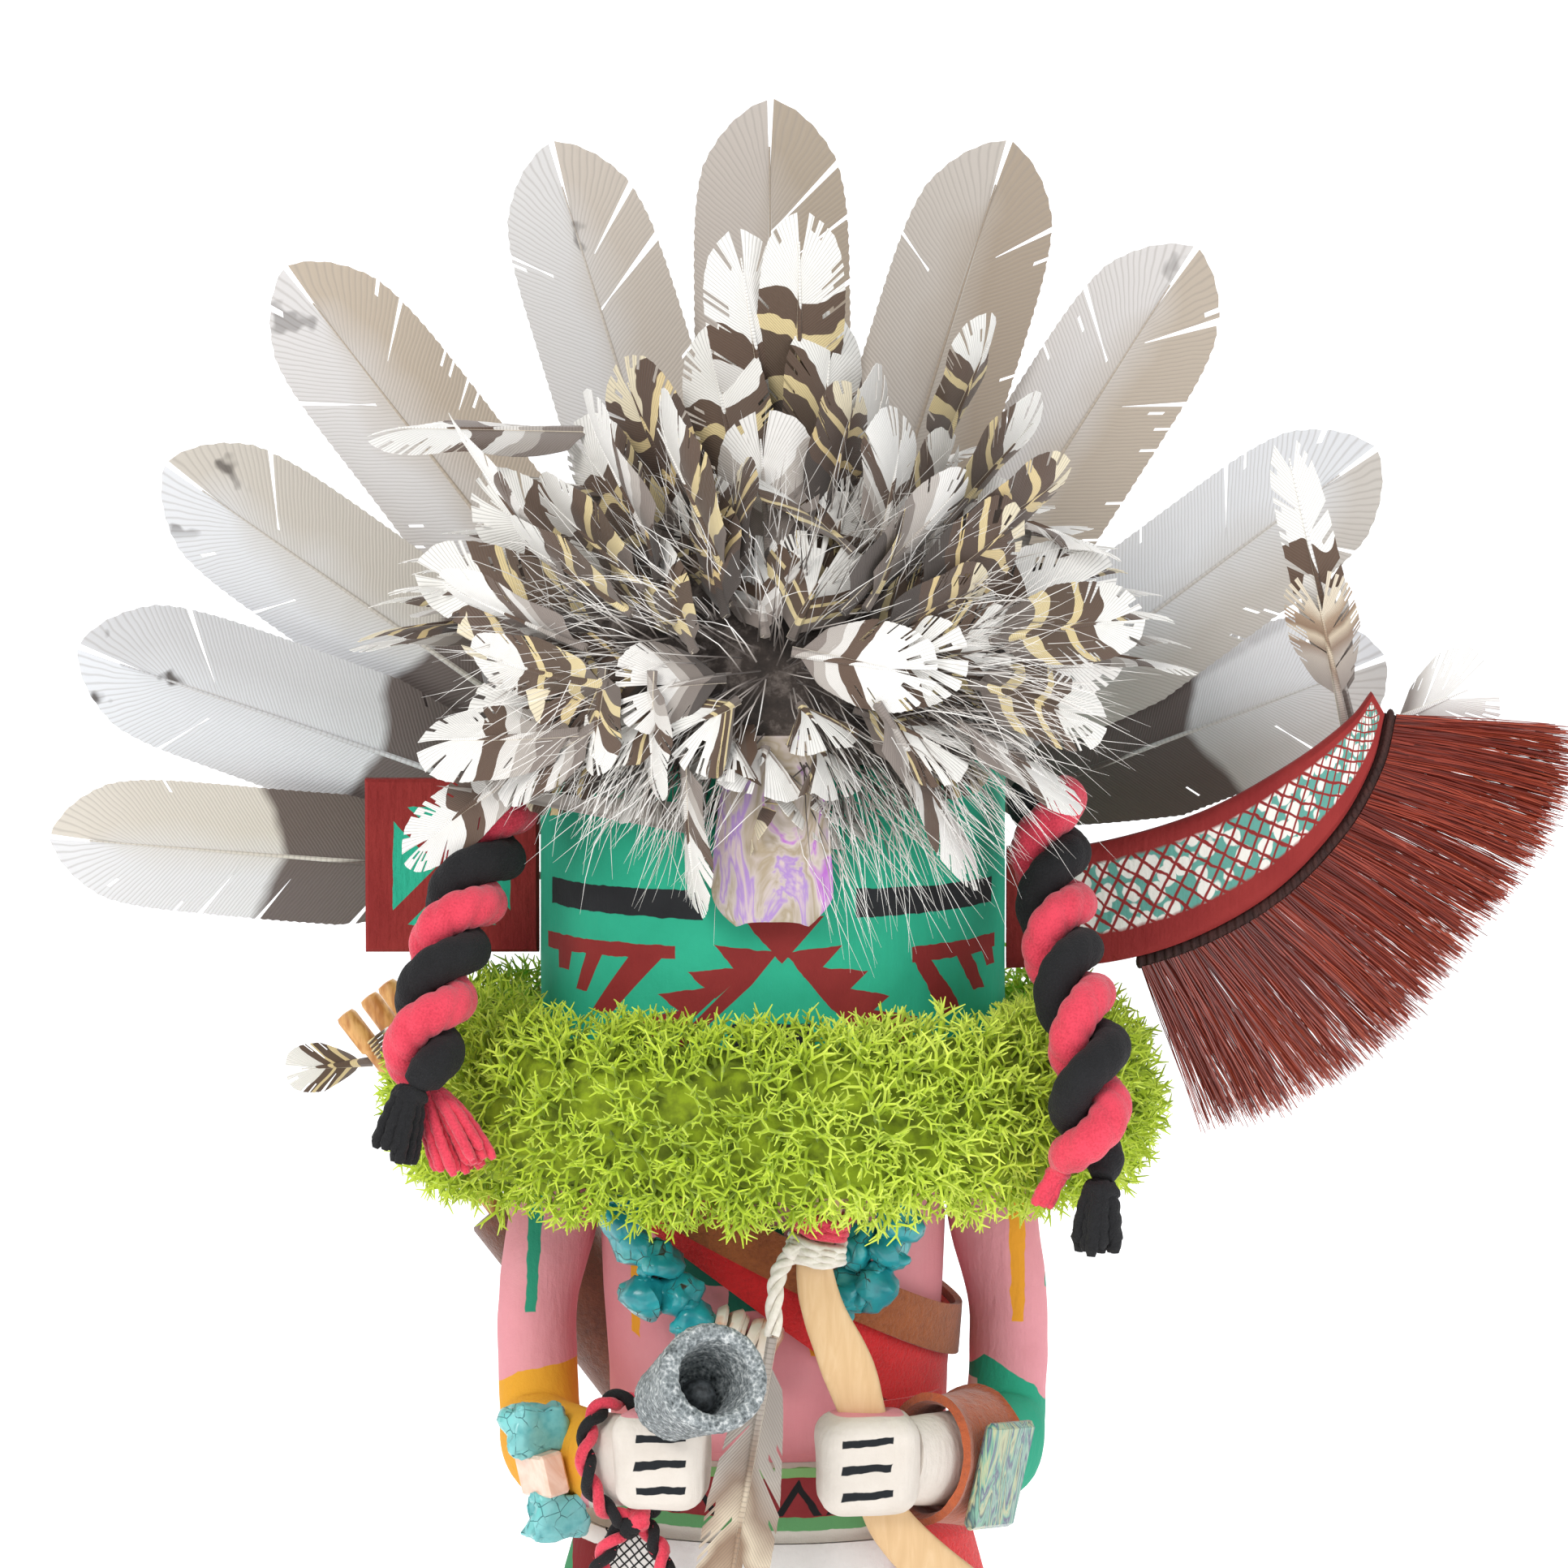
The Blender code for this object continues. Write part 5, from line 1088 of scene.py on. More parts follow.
def hackle_paint(name, look):
    """Barred body feathers: brown bands with lobed edges and a pale tip."""
    stops = {
        "white": ((0.0, "857a73"), (0.20, "b3aba4"), (0.32, "dedad5"), (0.44, "5a4333"), (0.64, "f1efeb")),
        "cream": ((0.0, "6a5f58"), (0.20, "d9c797"), (0.32, "54402f"), (0.56, "dcc894"), (0.64, "5a4434"),
                  (0.80, "eeece7")),
        "dark": ((0.0, "3a312c"), (0.30, "4e3a2d"), (0.42, "d6bd86"), (0.49, "4b372a"), (0.74, "dcc693"),
                 (0.82, "553f30"), (0.94, "e4d8bb")),
        "grey": ((0.0, "4a423e"), (0.30, "857b74"), (0.62, "b9b1aa"), (0.82, "e6e3df")),
        "soft": ((0.0, "9a9089"), (0.30, "b3a89e"), (0.46, "8f7866"), (0.60, "cdbda6"), (0.68, "8a6f58"),
                 (0.80, "a58c74"), (0.92, "d8cbb6")),
        "pale": ((0.0, "8d8580"), (0.22, "cfcac5"), (0.5, "f1efec")),
    }[look]
    paint = Paint(name, "barred feather", Sheen_Weight=0.2, Roughness=0.6)
    u, v = paint.uv()
    where = paint.where()
    seed = paint.own("seed")
    side = (u - 0.5).size()
    lobes = (u * 7 + seed * 9).sine() * 0.05 + (paint.noise(where, 110, 2) - 0.5) * 0.22
    bands = v + lobes + (seed - 0.5) * 0.14 + side * 0.12
    color = paint.ramp(bands, *stops, crisp=look not in ("soft", "pale"))
    barbs = (v * 62 + seed * 3).wave() * 2
    paint.set(Base_Color=paint.coats(color, (barbs.below(0.22, 0.3) * 0.4, "5e554d"),
                                     (side.below(0.02, 0.02), "d9cdb8")))
    return paint.bump(barbs, 0.4, 0.15)


# Hackles that the photograph shows one by one: tip, root (across, up), width and look
HACKLES = (
    ((-69.8, 344.5), (-30.1, 343.7), 14, "white"), ((-57.7, 345.0), (-34.0, 317.3), 12.5, "white"),
    ((-34.5, 348.8), (-19.0, 322.8), 18, "white"), ((-20.7, 350.5), (-7.5, 319.5), 16, "cream"),
    ((-6.4, 338.9), (-7.5, 319.5), 11, "dark"), ((-24.1, 337.8), (-19.6, 319.4), 7, "dark"),
    ((-21.3, 326.7), (-13.3, 308.1), 7, "cream"), ((-5.8, 377.4), (0.5, 336.1), 13, "white"),
    ((7.4, 380.2), (3.3, 339.7), 13, "cream"), ((23.6, 347.7), (18.4, 323.6), 14, "white"),
    ((38.0, 363.3), (29.4, 338.5), 13, "cream"), ((-0.9, 337.5), (14.1, 324.1), 17, "cream"),
    ((33.9, 336.1), (12.0, 314.5), 12, "grey"), ((44.1, 328.4), (24.6, 315.9), 13, "dark"),
    ((61.1, 323.5), (38.6, 329.5), 13, "white"), ((64.5, 314.5), (37.6, 309.0), 12, "cream"),
    ((27.4, 303.9), (3.3, 308.1), 13, "white"), ((37.7, 269.4), (17.9, 299.1), 14, "white"),
    ((-61.3, 289.6), (-33.1, 293.8), 12, "white"), ((-66.4, 272.3), (-41.4, 287.6), 11, "white"),
    ((-30.2, 287.0), (-29.0, 305.3), 9, "cream"), ((-21.1, 282.8), (-20.5, 304.7), 10.5, "white"),
    ((-14.9, 262.5), (-15.0, 290.8), 12, "white"), ((52, 338), (30, 322), 12, "dark"),
    ((-46, 328), (-24, 314), 12, "cream"), ((-58, 318), (-32, 308), 12, "white"),
    ((16, 352), (8, 328), 12, "dark"), ((48, 349), (30, 328), 13, "cream"),
    ((58, 296), (34, 302), 12, "cream"), ((-52, 304), (-28, 302), 11, "cream"),
    ((28, 333), (16, 315), 12, "cream"), ((38, 318), (18, 311), 11, "dark"),
    ((-42, 335), (-22, 318), 12, "cream"), ((54, 282), (32, 295), 12, "white"),
    ((-48, 284), (-30, 295), 11, "white"), ((-12, 334), (-8, 314), 11, "dark"),
)
CROWN_RADII = Vector((58, 46, 36))
CROWN_CENTRE = Vector((0, -9, 299.3))
HACKLE_HEIGHT = 304
HACKLE_FRONT = -61
WISP_FRONT = -68


def crown_depth(x, z):
    """How far forwards the bun of down reaches at a place seen from the front."""
    inside = 1 - ((x - CROWN_CENTRE.x) / CROWN_RADII.x) ** 2 - ((z - CROWN_CENTRE.z) / CROWN_RADII.z) ** 2
    return CROWN_CENTRE.y - CROWN_RADII.y * math.sqrt(max(0.0, inside))


def make_crown():
    """A bun of dark down, barred hackles over it, and long pale wisps."""
    down = Paint("crown down", "barred feather", Roughness=0.95, Sheen_Weight=0.3)
    down.figured(down.noise(down.where(), 120, 5, 0.7), 0.9, 1.5,
                 (0.3, "17120f"), (0.5, "3d342f"), (0.7, "8b8079"))
    core = ball(4, CROWN_RADII - Vector((7, 8, 6)))
    roughen(core, 2.2, 0.12, 4)
    roughen(core, 1.2, 0.4, 9)
    bmesh.ops.translate(core, verts=core.verts, vec=CROWN_CENTRE)
    for vert in core.verts:
        vert.co.z = max(vert.co.z, MASK_TOP + FIT)
        vert.co.y = min(vert.co.y, 38)
    bmesh.ops.dissolve_degenerate(core, dist=0.02, edges=core.edges[:])
    add_piece("crown_down", core, down, "crown_plume")

    piles = {look: bmesh.new() for look in ("white", "cream", "dark", "grey")}
    rows = [(tip, root, width * 1.2, look, -3.0) for tip, root, width, look in HACKLES]
    looks = ("white", "cream", "dark", "white", "cream", "grey")
    for tier, count, inner, outer, back in ((0, 22, 26, 64, 12), (1, 12, 16, 46, 3), (2, 6, 8, 32, 2)):
        for i in range(count):
            angle = TURN * (i + chance.uniform(-0.3, 0.3)) / count + tier
            reach = outer * chance.uniform(0.82, 1.05)
            across, up = math.cos(angle), math.sin(angle)
            reach *= 1 - 0.40 * max(0, -up)
            root = (across * inner, HACKLE_HEIGHT + up * inner * 0.8)
            tip = (across * reach, HACKLE_HEIGHT + up * reach * (0.92 if up > 0 else 0.72))
            rows.append((tip, root, chance.uniform(15, 19), looks[chance.integers(6)], back))
    for i, (tip, root, width, look, back) in enumerate(rows):
        number = float((i * 0.618) % 1)
        start = Vector((root[0], crown_depth(*root) + back, root[1]))
        end = Vector((tip[0], min(crown_depth(*tip) - 6, start.y + 14) + back * 0.5, tip[1]))
        if tip[1] < 294:
            end.y = min(end.y, -math.sqrt(max(0, 45 ** 2 - tip[0] ** 2)) - 5)
        end.y = max(end.y, HACKLE_FRONT)
        along = end - start
        outward = Vector((start.x * 0.2, -1, (start.z - 300) * 0.012))
        twist = Matrix.Rotation(chance.uniform(-0.5, 0.5), 3, along)
        length = along.length * 1.04
        splits = tuple((int(chance.choice((-1, 1))), chance.uniform(0.35, 0.95), 0.4, 0.7) for _ in range(4))
        bm = feather(start, along, twist @ outward, length, width / 2, length * 0.04, rows=56, columns=4,
                     bow=chance.uniform(-3.5, 1.5), sweep=chance.uniform(-3.5, 3.5), camber=0.3, slant=0.85,
                     tip_slant=0.12, taper=0.6, splits=splits, fray=0.22, thick=0.12, number=number)
        join(piles[look], bm)
    for i in range(64):
        angle = math.pi * (i * 0.618 % 1) * 1.1 - 0.15
        lift = 0.12 + 0.85 * (i / 64)
        normal = Vector((math.cos(angle) * math.cos(lift * 1.5), math.sin(angle) * math.cos(lift * 1.5),
                         math.sin(lift * 1.5)))
        start = CROWN_CENTRE + Vector([normal[k] * (CROWN_RADII[k] - 5) for k in range(3)])
        start.z = max(start.z, MASK_TOP + 4)
        drop = Vector((normal.x, normal.y, -0.1))
        along = (drop + normal * 0.22).normalized()
        length = chance.uniform(22, 30)
        room = 43 - start.y - along.y * length
        if room < 0:
            along.y += room / length
        bm = feather(start, along, normal, length, chance.uniform(5, 7), 1, rows=30, columns=3, bow=-2,
                     camber=0.3, slant=0.75, tip_slant=0.3, taper=0.45, fray=0.6, thick=0.12,
                     number=float(i * 0.37 % 1))
        join(piles[looks[i % 6]], bm)
    for look, pile in piles.items():
        add_piece(f"crown_hackles_{look}", pile, hackle_paint(f"hackles {look}", look), "crown_plume")

    wisp_paint = Paint("crown wisps", "barred feather", Roughness=0.5, Sheen_Weight=0.3)
    _, v = wisp_paint.uv()
    seed = wisp_paint.own("seed")
    wisp_paint.set(Base_Color=wisp_paint.ramp(v + (seed - 0.5) * 0.5, (0.1, "4a403b"), (0.36, "aaa19a"),
                                              (0.6, "f3f0ec")))
    wisps = bmesh.new()
    for i in range(1350):
        low = i >= 1000
        angle = chance.uniform(-2.7, 0.1) if low else chance.uniform(0, TURN)
        inner = 34 * math.sqrt(chance.uniform(0.3, 1) if low else chance.random())
        across, up = math.cos(angle), math.sin(angle)
        root = Vector((across * inner * 1.2, 0, HACKLE_HEIGHT + up * inner * 0.75))
        root.y = crown_depth(root.x, root.z) + 5
        reach = chance.uniform(20, 34) * (0.5 if across < -0.15 else 1) if low else chance.uniform(11, 24)
        out = Vector((across + chance.normal() * 0.35, -chance.uniform(0.05, 0.6),
                      up + chance.normal() * 0.35 - 0.1))
        out.normalize()
        droop = Vector((0, 0, -3 * chance.random()))
        end = root + out * reach + droop
        end.y = max(end.y, WISP_FRONT)
        if abs(end.x) < 10 and end.z < 287:
            continue
        points = [root, root.lerp(end, 0.5) - droop * 0.5 + Vector(chance.normal(size=3)) * 1.2, end]
        hair = tube(smooth_points(points, 5),
                    lambda turn, along: (0.17 * (1.08 - along),) * 2, 3)
        number_verts(hair, "seed", chance.random())
        join(wisps, hair)
    add_piece("crown_wisps", wisps, wisp_paint, "crown_plume")


# Moss ruff

MOSS_SECTION = ((0.0, 0.92), (0.36, 1.0), (0.66, 0.95), (0.88, 0.78), (1.0, 0.54), (0.98, 0.30),
                (0.86, 0.10), (0.66, 0.0), (0.46, 0.10))
MOSS_REACH = 69.5
MOSS_LIMIT = 72.0
MOSS_FOOT = MASK_BOTTOM - 24
MOSS_HEIGHT = 37
MOSS_ROWS = 39


def sprig(rng, size):
    """A twig of lichen that forks again and again."""
    bm = bmesh.new()
    tip = bm.verts.layers.float.new("tip")
    seed = bm.verts.layers.float.new("seed")
    ends = [(Vector((0, 0, 0)), Vector((0, 0, 1)), 0)]
    while ends:
        start, way, depth = ends.pop()
        length = size * rng.uniform(0.7, 1.2) * (0.9 ** depth)
        turn = way.to_track_quat("Z", "Y").to_matrix().to_4x4()
        made = bmesh.ops.create_cone(bm, cap_ends=True, segments=3, radius1=0.38 * 0.86 ** depth,
                                     radius2=0.33 * 0.84 ** depth if depth < 3 else 0.09, depth=length * 1.06,
                                     matrix=Matrix.Translation(start + way * length / 2) @ turn)
        for vert in made["verts"]:
            vert[tip] = min(1.0, (vert.co.length) / (size * 3.2))
            vert[seed] = 0.0
        if depth < 3:
            aside = way.orthogonal().normalized()
            aside.rotate(Matrix.Rotation(rng.uniform(0, TURN), 3, way))
            for sign in (-1, 1):
                fork = (way + aside * sign * rng.uniform(0.45, 0.95) + Vector(rng.normal(size=3)) * 0.12)
                ends.append((start + way * length, fork.normalized(), depth + 1))
    mesh = bpy.data.meshes.new("sprig")
    bm.to_mesh(mesh)
    bm.free()
    return mesh


def make_moss():
    """A ring of dyed reindeer moss: a dark heart and two layers of forking twigs."""
    moss = Paint("reindeer moss", "lichen", Roughness=0.75, Sheen_Weight=0.2)
    where = moss.where()
    tip, seed = moss.own("tip"), moss.own("seed")
    patches = moss.noise(where, 32, 3)
    bright = moss.place()[0].between(8, 46, 4) * 0.16
    color = moss.ramp(tip * 0.72 + seed * 0.26 + (patches - 0.5) * 0.5 + bright - 0.03, (0.05, "66780f"),
                      (0.32, "94ac1a"), (0.62, "b7cf2c"), (0.95, "d6e758"))
    moss.set(Base_Color=color)
    moss.bump(moss.noise(where, 900, 2), 0.4, 0.2)
    heart = Paint("moss heart", "lichen", Roughness=0.95)
    heart.figured(heart.noise(heart.where(), 300, 4), 1.0, 1.2, (0.35, "5d6c10"), (0.6, "93a81e"))
    section = [(MASK_RADIUS + FIT + (MOSS_REACH - MASK_RADIUS) * share, MOSS_FOOT + MOSS_HEIGHT * rise)
               for share, rise in smooth_rows(MOSS_SECTION, MOSS_ROWS + 1)]
    middle = Vector((56.0, 226.0))

    def ring_point(turn, row, inset):
        radius, height = section[row]
        spot = Vector((radius, height))
        spot = middle + (spot - middle) * (1 - inset / (spot - middle).length)
        return Vector((spot.x * math.cos(turn), spot.x * math.sin(turn), spot.y))
    core = warped(96, MOSS_ROWS, lambda u, v: ring_point(u * TURN, round(v * MOSS_ROWS), 6.0), closed=True)
    bmesh.ops.bridge_loops(core, edges=[edge for edge in core.edges if edge.is_boundary])
    roughen(core, 1.6, 0.25)
    add_piece("moss_heart", core, heart, "moss_ruff")

    templates = [sprig(chance, size) for size in (1.9, 2.1, 2.3, 2.6, 2.0, 2.8)]
    shapes = []
    for mesh in templates:
        points = np.zeros(len(mesh.vertices) * 3)
        mesh.vertices.foreach_get("co", points)
        shapes.append(points.reshape(-1, 3))
    for name, first, last, count in (("moss_front", -0.52, 0.02, 1450), ("moss_back", 0.02, 0.48, 540)):
        pile = bmesh.new()
        for _ in range(count):
            turn = TURN * chance.uniform(first, last)
            row = int(chance.integers(2, MOSS_ROWS - 1))
            root = ring_point(turn, row, 6.5)
            if root.z < 214 and root.y < 0 and 0 < root.x < 14:
                continue
            out = (ring_point(turn, row, 0) - root).normalized()
            way = (out + Vector(chance.normal(size=3)) * 0.42).normalized()
            k = int(chance.integers(len(shapes)))
            turned = way.to_track_quat("Z", "Y").to_matrix()
            turned = turned @ Matrix.Rotation(chance.uniform(0, TURN), 3, "Z")
            scale = chance.uniform(0.85, 1.15)
            placed = shapes[k] @ (np.array(turned).T * scale) + np.array(root)
            radial = np.hypot(placed[:, 0], placed[:, 1])
            keep = np.clip(radial, MASK_RADIUS + 0.6, MOSS_LIMIT) / radial
            placed[:, :2] *= keep[:, None]
            mesh = templates[k]
            mesh.vertices.foreach_set("co", placed.ravel())
            mesh.attributes["seed"].data.foreach_set("value", np.full(len(placed), chance.random()))
            mesh.update()
            pile.from_mesh(mesh)
        add_piece(name, pile, moss, "moss_ruff", turned_out=False)
    for mesh in templates:
        bpy.data.meshes.remove(mesh)


# Horsehair fringe

def fringe_rows(count):
    """Where each part of the fringe leaves the crescent, and which way it points."""
    edge = horn_edge(HORN_LOW_EDGE, 4 * count + 1)
    rows = []
    for i, k in enumerate(np.linspace(0.22 * 4 * count, 4 * count, count).astype(int)):
        share = i / (count - 1)
        ways = [Vector((math.cos(angle), 0, math.sin(angle)))
                for angle in (math.radians(-54 + 50 * share), math.radians(-66 + 62 * share ** 0.8))]
        rows.append((edge[k], *ways, share))
    return rows


def make_fringe():
    hair = Paint("dyed horsehair", "red horsehair", Roughness=0.35, Specular_IOR_Level=0.6)
    _, v = hair.uv()
    seed = hair.own("seed")
    hair.set(Base_Color=hair.ramp(seed * 0.7 + v * 0.3, (0.0, "4c1913"), (0.45, "7c2c20"), (0.8, "a5442f"),
                                  (1.0, "b9583c")))
    rows = fringe_rows(90)
    pile = bmesh.new()
    for _ in range(3300):
        k = int(chance.integers(len(rows) - 1))
        between = chance.random()
        point, square, out = (rows[k][part].lerp(rows[k + 1][part], between) for part in range(3))
        share = rows[k][3]
        clump = math.sin(k * 1.7) * 0.04 + math.sin(k * 0.53) * 0.025
        spread = chance.normal() * 0.035 + clump
        way = Vector((out.x * math.cos(spread) - out.z * math.sin(spread), 0,
                      out.x * math.sin(spread) + out.z * math.cos(spread)))
        root = point + square * 2.2 + Vector((0, chance.uniform(-0.9, 0.9), 0))
        length = (30.5 + 1.6 * math.sin(9 * share)) * chance.uniform(0.86, 1.03)
        if chance.random() < 0.08:
            length *= chance.uniform(0.6, 0.9)
        bend = Vector((chance.normal() * 0.7, chance.normal() * 0.9, -0.8 - chance.random()))
        points = smooth_points([root, root + way * length * 0.5 + bend * 0.2, root + way * length + bend], 4)
        strand_hair = tube(points, lambda turn, along: (0.14 - 0.06 * along,) * 2, 3)
        number_verts(strand_hair, "seed", chance.random())
        join(pile, strand_hair)
    add_piece("horsehair", pile, hair, "horsehair_fringe")

    cord = Paint("fringe binding", "hair cord", Roughness=0.85)
    where = cord.where()
    cord.set(Base_Color=mottled(cord, where, "231210", "43211b", 300))
    cord.bump(cord.noise(where, 1600, 2), 0.6, 0.3)
    band = bmesh.new()
    points = [point + square * 1.2 for point, square, _, _ in rows]
    join(band, tube(points, lambda turn, along: (0.95, 1.25), 10, Vector((0, 1, 0))))
    for i in range(0, 89, 2):
        centre = points[i] + (points[i + 1] - points[i]) * 0.5
        knot = ball(2, (0.75, 1.5, 1.35))
        bmesh.ops.translate(knot, verts=knot.verts, vec=centre)
        join(band, knot)
    add_piece("fringe_binding", band, cord, "fringe_band")


# Forehead shell, jewellery and what the hands hold

def pearl(name, slot, stops, scale, stretch, glow=0.25):
    paint = Paint(name, slot, Roughness=0.32, Coat_Weight=glow, Coat_Roughness=0.15, Specular_IOR_Level=0.5)
    where = paint.where()
    bands = paint.noise(paint.stretched(where, *stretch), scale, 4, 0.55, 1.4)
    fine = paint.noise(where, 700, 2)
    paint.set(Base_Color=paint.ramp(bands, *stops))
    return paint.bump(bands * 0.6 + fine * 0.3, 0.25, 0.3)


def make_shell():
    paint = pearl("pearl shell", "shell", (
        (0.28, "a58f92"), (0.40, "c9b6b5"), (0.46, "a37fc0"), (0.50, "bfb1ab"), (0.57, "a3937a"),
        (0.64, "cbbfb8"), (0.70, "b568c6"), (0.76, "d8ccc6")), 110, (1.0, 1.0, 0.5))
    low, high = box_of("forehead_shell")
    half, top, bottom = 10.1, high.z, low.z + 0.3
    front = -45.0

    def place(across, along):
        side = 2 * across - 1
        height = bottom + (top - bottom) * along
        rounding = min(1, 0.55 + 0.45 * math.sin(min(1, along * 6) * math.pi / 2))
        width = half * rounding * (1 - 0.42 * along ** 2.2)
        bulge = 1 - side ** 2
        return Vector((width * side, front - 0.55 * bulge ** 0.5 - 0.3 * math.sin(along * 7), height))
    bm = warped(20, 36, place)
    thicken(bm, 2.2)
    roughen(bm, 0.12, 0.3)
    add_piece("pearl_tongue", bm, paint, "forehead_shell")


def stone(centre, size, seed, detail=3, lump=0.28):
    bm = bmesh.new()
    bmesh.ops.create_icosphere(bm, subdivisions=detail, radius=0.5)
    roughen(bm, lump, 1.9, seed)
    roughen(bm, lump * 0.35, 5.0, seed + 3)
    bmesh.ops.scale(bm, vec=size, verts=bm.verts)
    turn = Matrix.Rotation(seed * 1.7, 4, "Z") @ Matrix.Rotation(seed * 0.9, 4, "X")
    bmesh.ops.transform(bm, matrix=Matrix.Translation(centre) @ turn, verts=bm.verts)
    return bm


NECKLACE_DEPTH = 30.96
NECKLACE_TOP = at_height(0.955)
NUGGETS = {
    "right": ((-27.0, -15.5), (-24.0, -20.5), (-20.0, -23.5), (-22.5, -30.0), (-17.0, -29.5), (-14.0, -34.0)),
    "left": ((21.5, -16.5), (20.0, -21.5), (14.8, -21.0), (18.0, -27.5), (13.0, -28.5), (10.3, -33.0)),
}


def turquoise_paint(name, pale, deep, matrix):
    paint = Paint(name, "turquoise", Roughness=0.28, Coat_Weight=0.25)
    where = paint.where()
    veins = paint.cells(where, 330, "DISTANCE_TO_EDGE")
    cloud = paint.noise(where, 160, 4, 0.6)
    color = paint.ramp(cloud, (0.3, deep), (0.55, pale), (0.75, "6cc7c4"))
    vein = veins.below(0.02, 0.03) * cloud.above(0.53, 0.08)
    paint.set(Base_Color=paint.mix(vein, color, matrix), Roughness=vein * 0.4 + 0.28)
    return paint.bump(cloud * 0.5 + (1 - vein) * 0.3, 0.6, 0.35)


def make_necklace():
    blue = turquoise_paint("turquoise nuggets", "2aa7ae", "157f8b", "3b2f22")
    string = Paint("necklace string", "hair cord", Roughness=0.8, Base_Color="2b2320")
    string.bump(string.noise(string.where(), 1500, 2), 0.5, 0.2)
    for side_name, side_sign in (("right", -1), ("left", 1)):
        line = [Vector((side_sign * 18.6, -NECKLACE_DEPTH * 0.8, NECKLACE_TOP))]
        line += [Vector((x, -NECKLACE_DEPTH, NECKLACE_TOP + z)) for x, z in NUGGETS[side_name]]
        stones = bmesh.new()
        for i, point in enumerate(line[1:]):
            size = [7.4 * (1.06 + 0.14 * math.sin(2.3 * i + k)) for k in range(3)]
            join(stones, stone(point + Vector((0.2, 0, 0.1)), size, i + side_sign + 0.5))
            small = stone(point + Vector((2.6 * math.sin(i * 2.1), -1.2, 2.8 * math.cos(i * 2.1))),
                          [3.4, 3.0, 3.6], i * 1.3 + side_sign + 5)
            join(stones, small)
        add_piece(f"nuggets_{side_name}", stones, blue, f"necklace_{side_name}")
        thread = tube(smooth_points(line, 40), 0.75, 8, Vector((0, 1, 0)))
        add_piece(f"necklace_string_{side_name}", thread, string, f"necklace_{side_name}")
    cream = Paint("cream shell discs", "shell", Roughness=0.3, Coat_Weight=0.3, Specular_IOR_Level=0.6)
    where = cream.where()
    cream.set(Base_Color=cream.ramp(cream.noise(where, 140, 3), (0.35, "e9d9c6"), (0.52, "f2e7da"),
                                    (0.62, "e0a98a"), (0.72, "efd9c6")))
    cream.bump(cream.noise(where, 500, 3), 0.4, 0.25)
    discs = bmesh.new()
    lean = Vector((0.94, 0, -0.34)).normalized()
    start = Vector((-9.5, -NECKLACE_DEPTH, NECKLACE_TOP - 35.5))
    for i in range(6):
        radius = 5.25 * (0.9 + 0.1 * math.sin(1.9 * i + 0.5))
        edge = 0.55
        profile = [(0.7, -1), (radius * 0.88 - edge, -1), (radius * 0.88, -1 + edge), (radius, 1 - edge),
                   (radius - edge, 1), (0.7, 1), (0.7, -1)]
        tilt = (lean + Vector((0, 0.1 * math.sin(i * 2), 0.12 * math.cos(i * 3)))).normalized()
        disc = lathe(profile, 40, start + lean * 1.95 * i, tilt)
        roughen(disc, 0.28, 0.4, i)
        join(discs, disc)
    add_piece("shell_disc_row", discs, cream, "shell_discs")


def felt_paint(name, slot, dark, light, scale=1500):
    paint = Paint(name, slot, Roughness=0.95, Sheen_Weight=0.35, Sheen_Roughness=0.6)
    where = paint.where()
    nap = paint.noise(where, scale, 3, 0.7)
    cloud = paint.noise(where, 90, 3)
    paint.set(Base_Color=paint.mix((nap * 0.7 + cloud * 0.6).between(0.5, 9, 0.5), dark, light))
    return paint.bump(nap, 0.8, 0.5)


def on_body(turn, height, out):
    wide, deep = body_half_sizes(height)
    return Vector(((wide + out) * math.cos(turn), (deep + out) * math.sin(turn), height))


def bandolier_height(turn):
    return at_height(0.848) - 0.55 * 31 * math.cos(turn)


def cloth_band(low, high, out, thick, rows=10, columns=160, ripple=0.25):
    """A closed band of cloth round the body; low and high give its edges."""
    def place(across, along):
        turn = across * TURN
        height = low(turn) + (high(turn) - low(turn)) * along
        curl = ripple * math.sin(turn * 5 + along * 3) * (0.4 + abs(along - 0.5))
        return on_body(turn, height, out + curl * 0.6)
    bm = warped(columns, rows, place, closed=True)
    thicken(bm, -thick)
    return bm


def make_sash_and_strap():
    felt = felt_paint("red felt", "red yarn", "b8060e", "ea1c22")
    suede = felt_paint("brown suede", "suede", "70300f", "a85a28", 1100)
    drop = lambda turn: 6.0 + 12 * (1 + math.cos(turn)) / 2
    band = cloth_band(lambda turn: bandolier_height(turn) - drop(turn),
                      lambda turn: bandolier_height(turn) + 3.5, 0.8, 1.1)
    add_piece("felt_sash", band, felt, "red_sash")
    low, top = at_height(0.40), bandolier_height(0) - 10

    def tail_place(across, along):
        height = low + (top - low) * along
        turn = -math.radians(18) * (1.08 + 1.84 * across)
        ripple = 0.5 * math.sin(across * 6 + along * 2) * (1 - along)
        return on_body(turn, height, 1.6 + ripple)
    tail = warped(16, 60, tail_place)
    thicken(tail, -1.0)
    add_piece("felt_sash_tail", tail, felt, "red_sash")
    strap = cloth_band(lambda turn: bandolier_height(turn) - 4.5, lambda turn: bandolier_height(turn) + 4.5,
                       2.5, 1.3, ripple=0.12)
    add_piece("suede_bandolier", strap, suede, "suede_strap")


def forearm(side_sign, start, length, count):
    """Frames along the forearm, from a distance behind the wrist back to the elbow."""
    frames = arm_frames(side_sign, 241)
    wrist = frames[-1][0][0]
    return [min(frames[120:], key=lambda row: abs((row[0][0] - wrist).length - distance))
            for distance in np.linspace(start + length, start, count)]


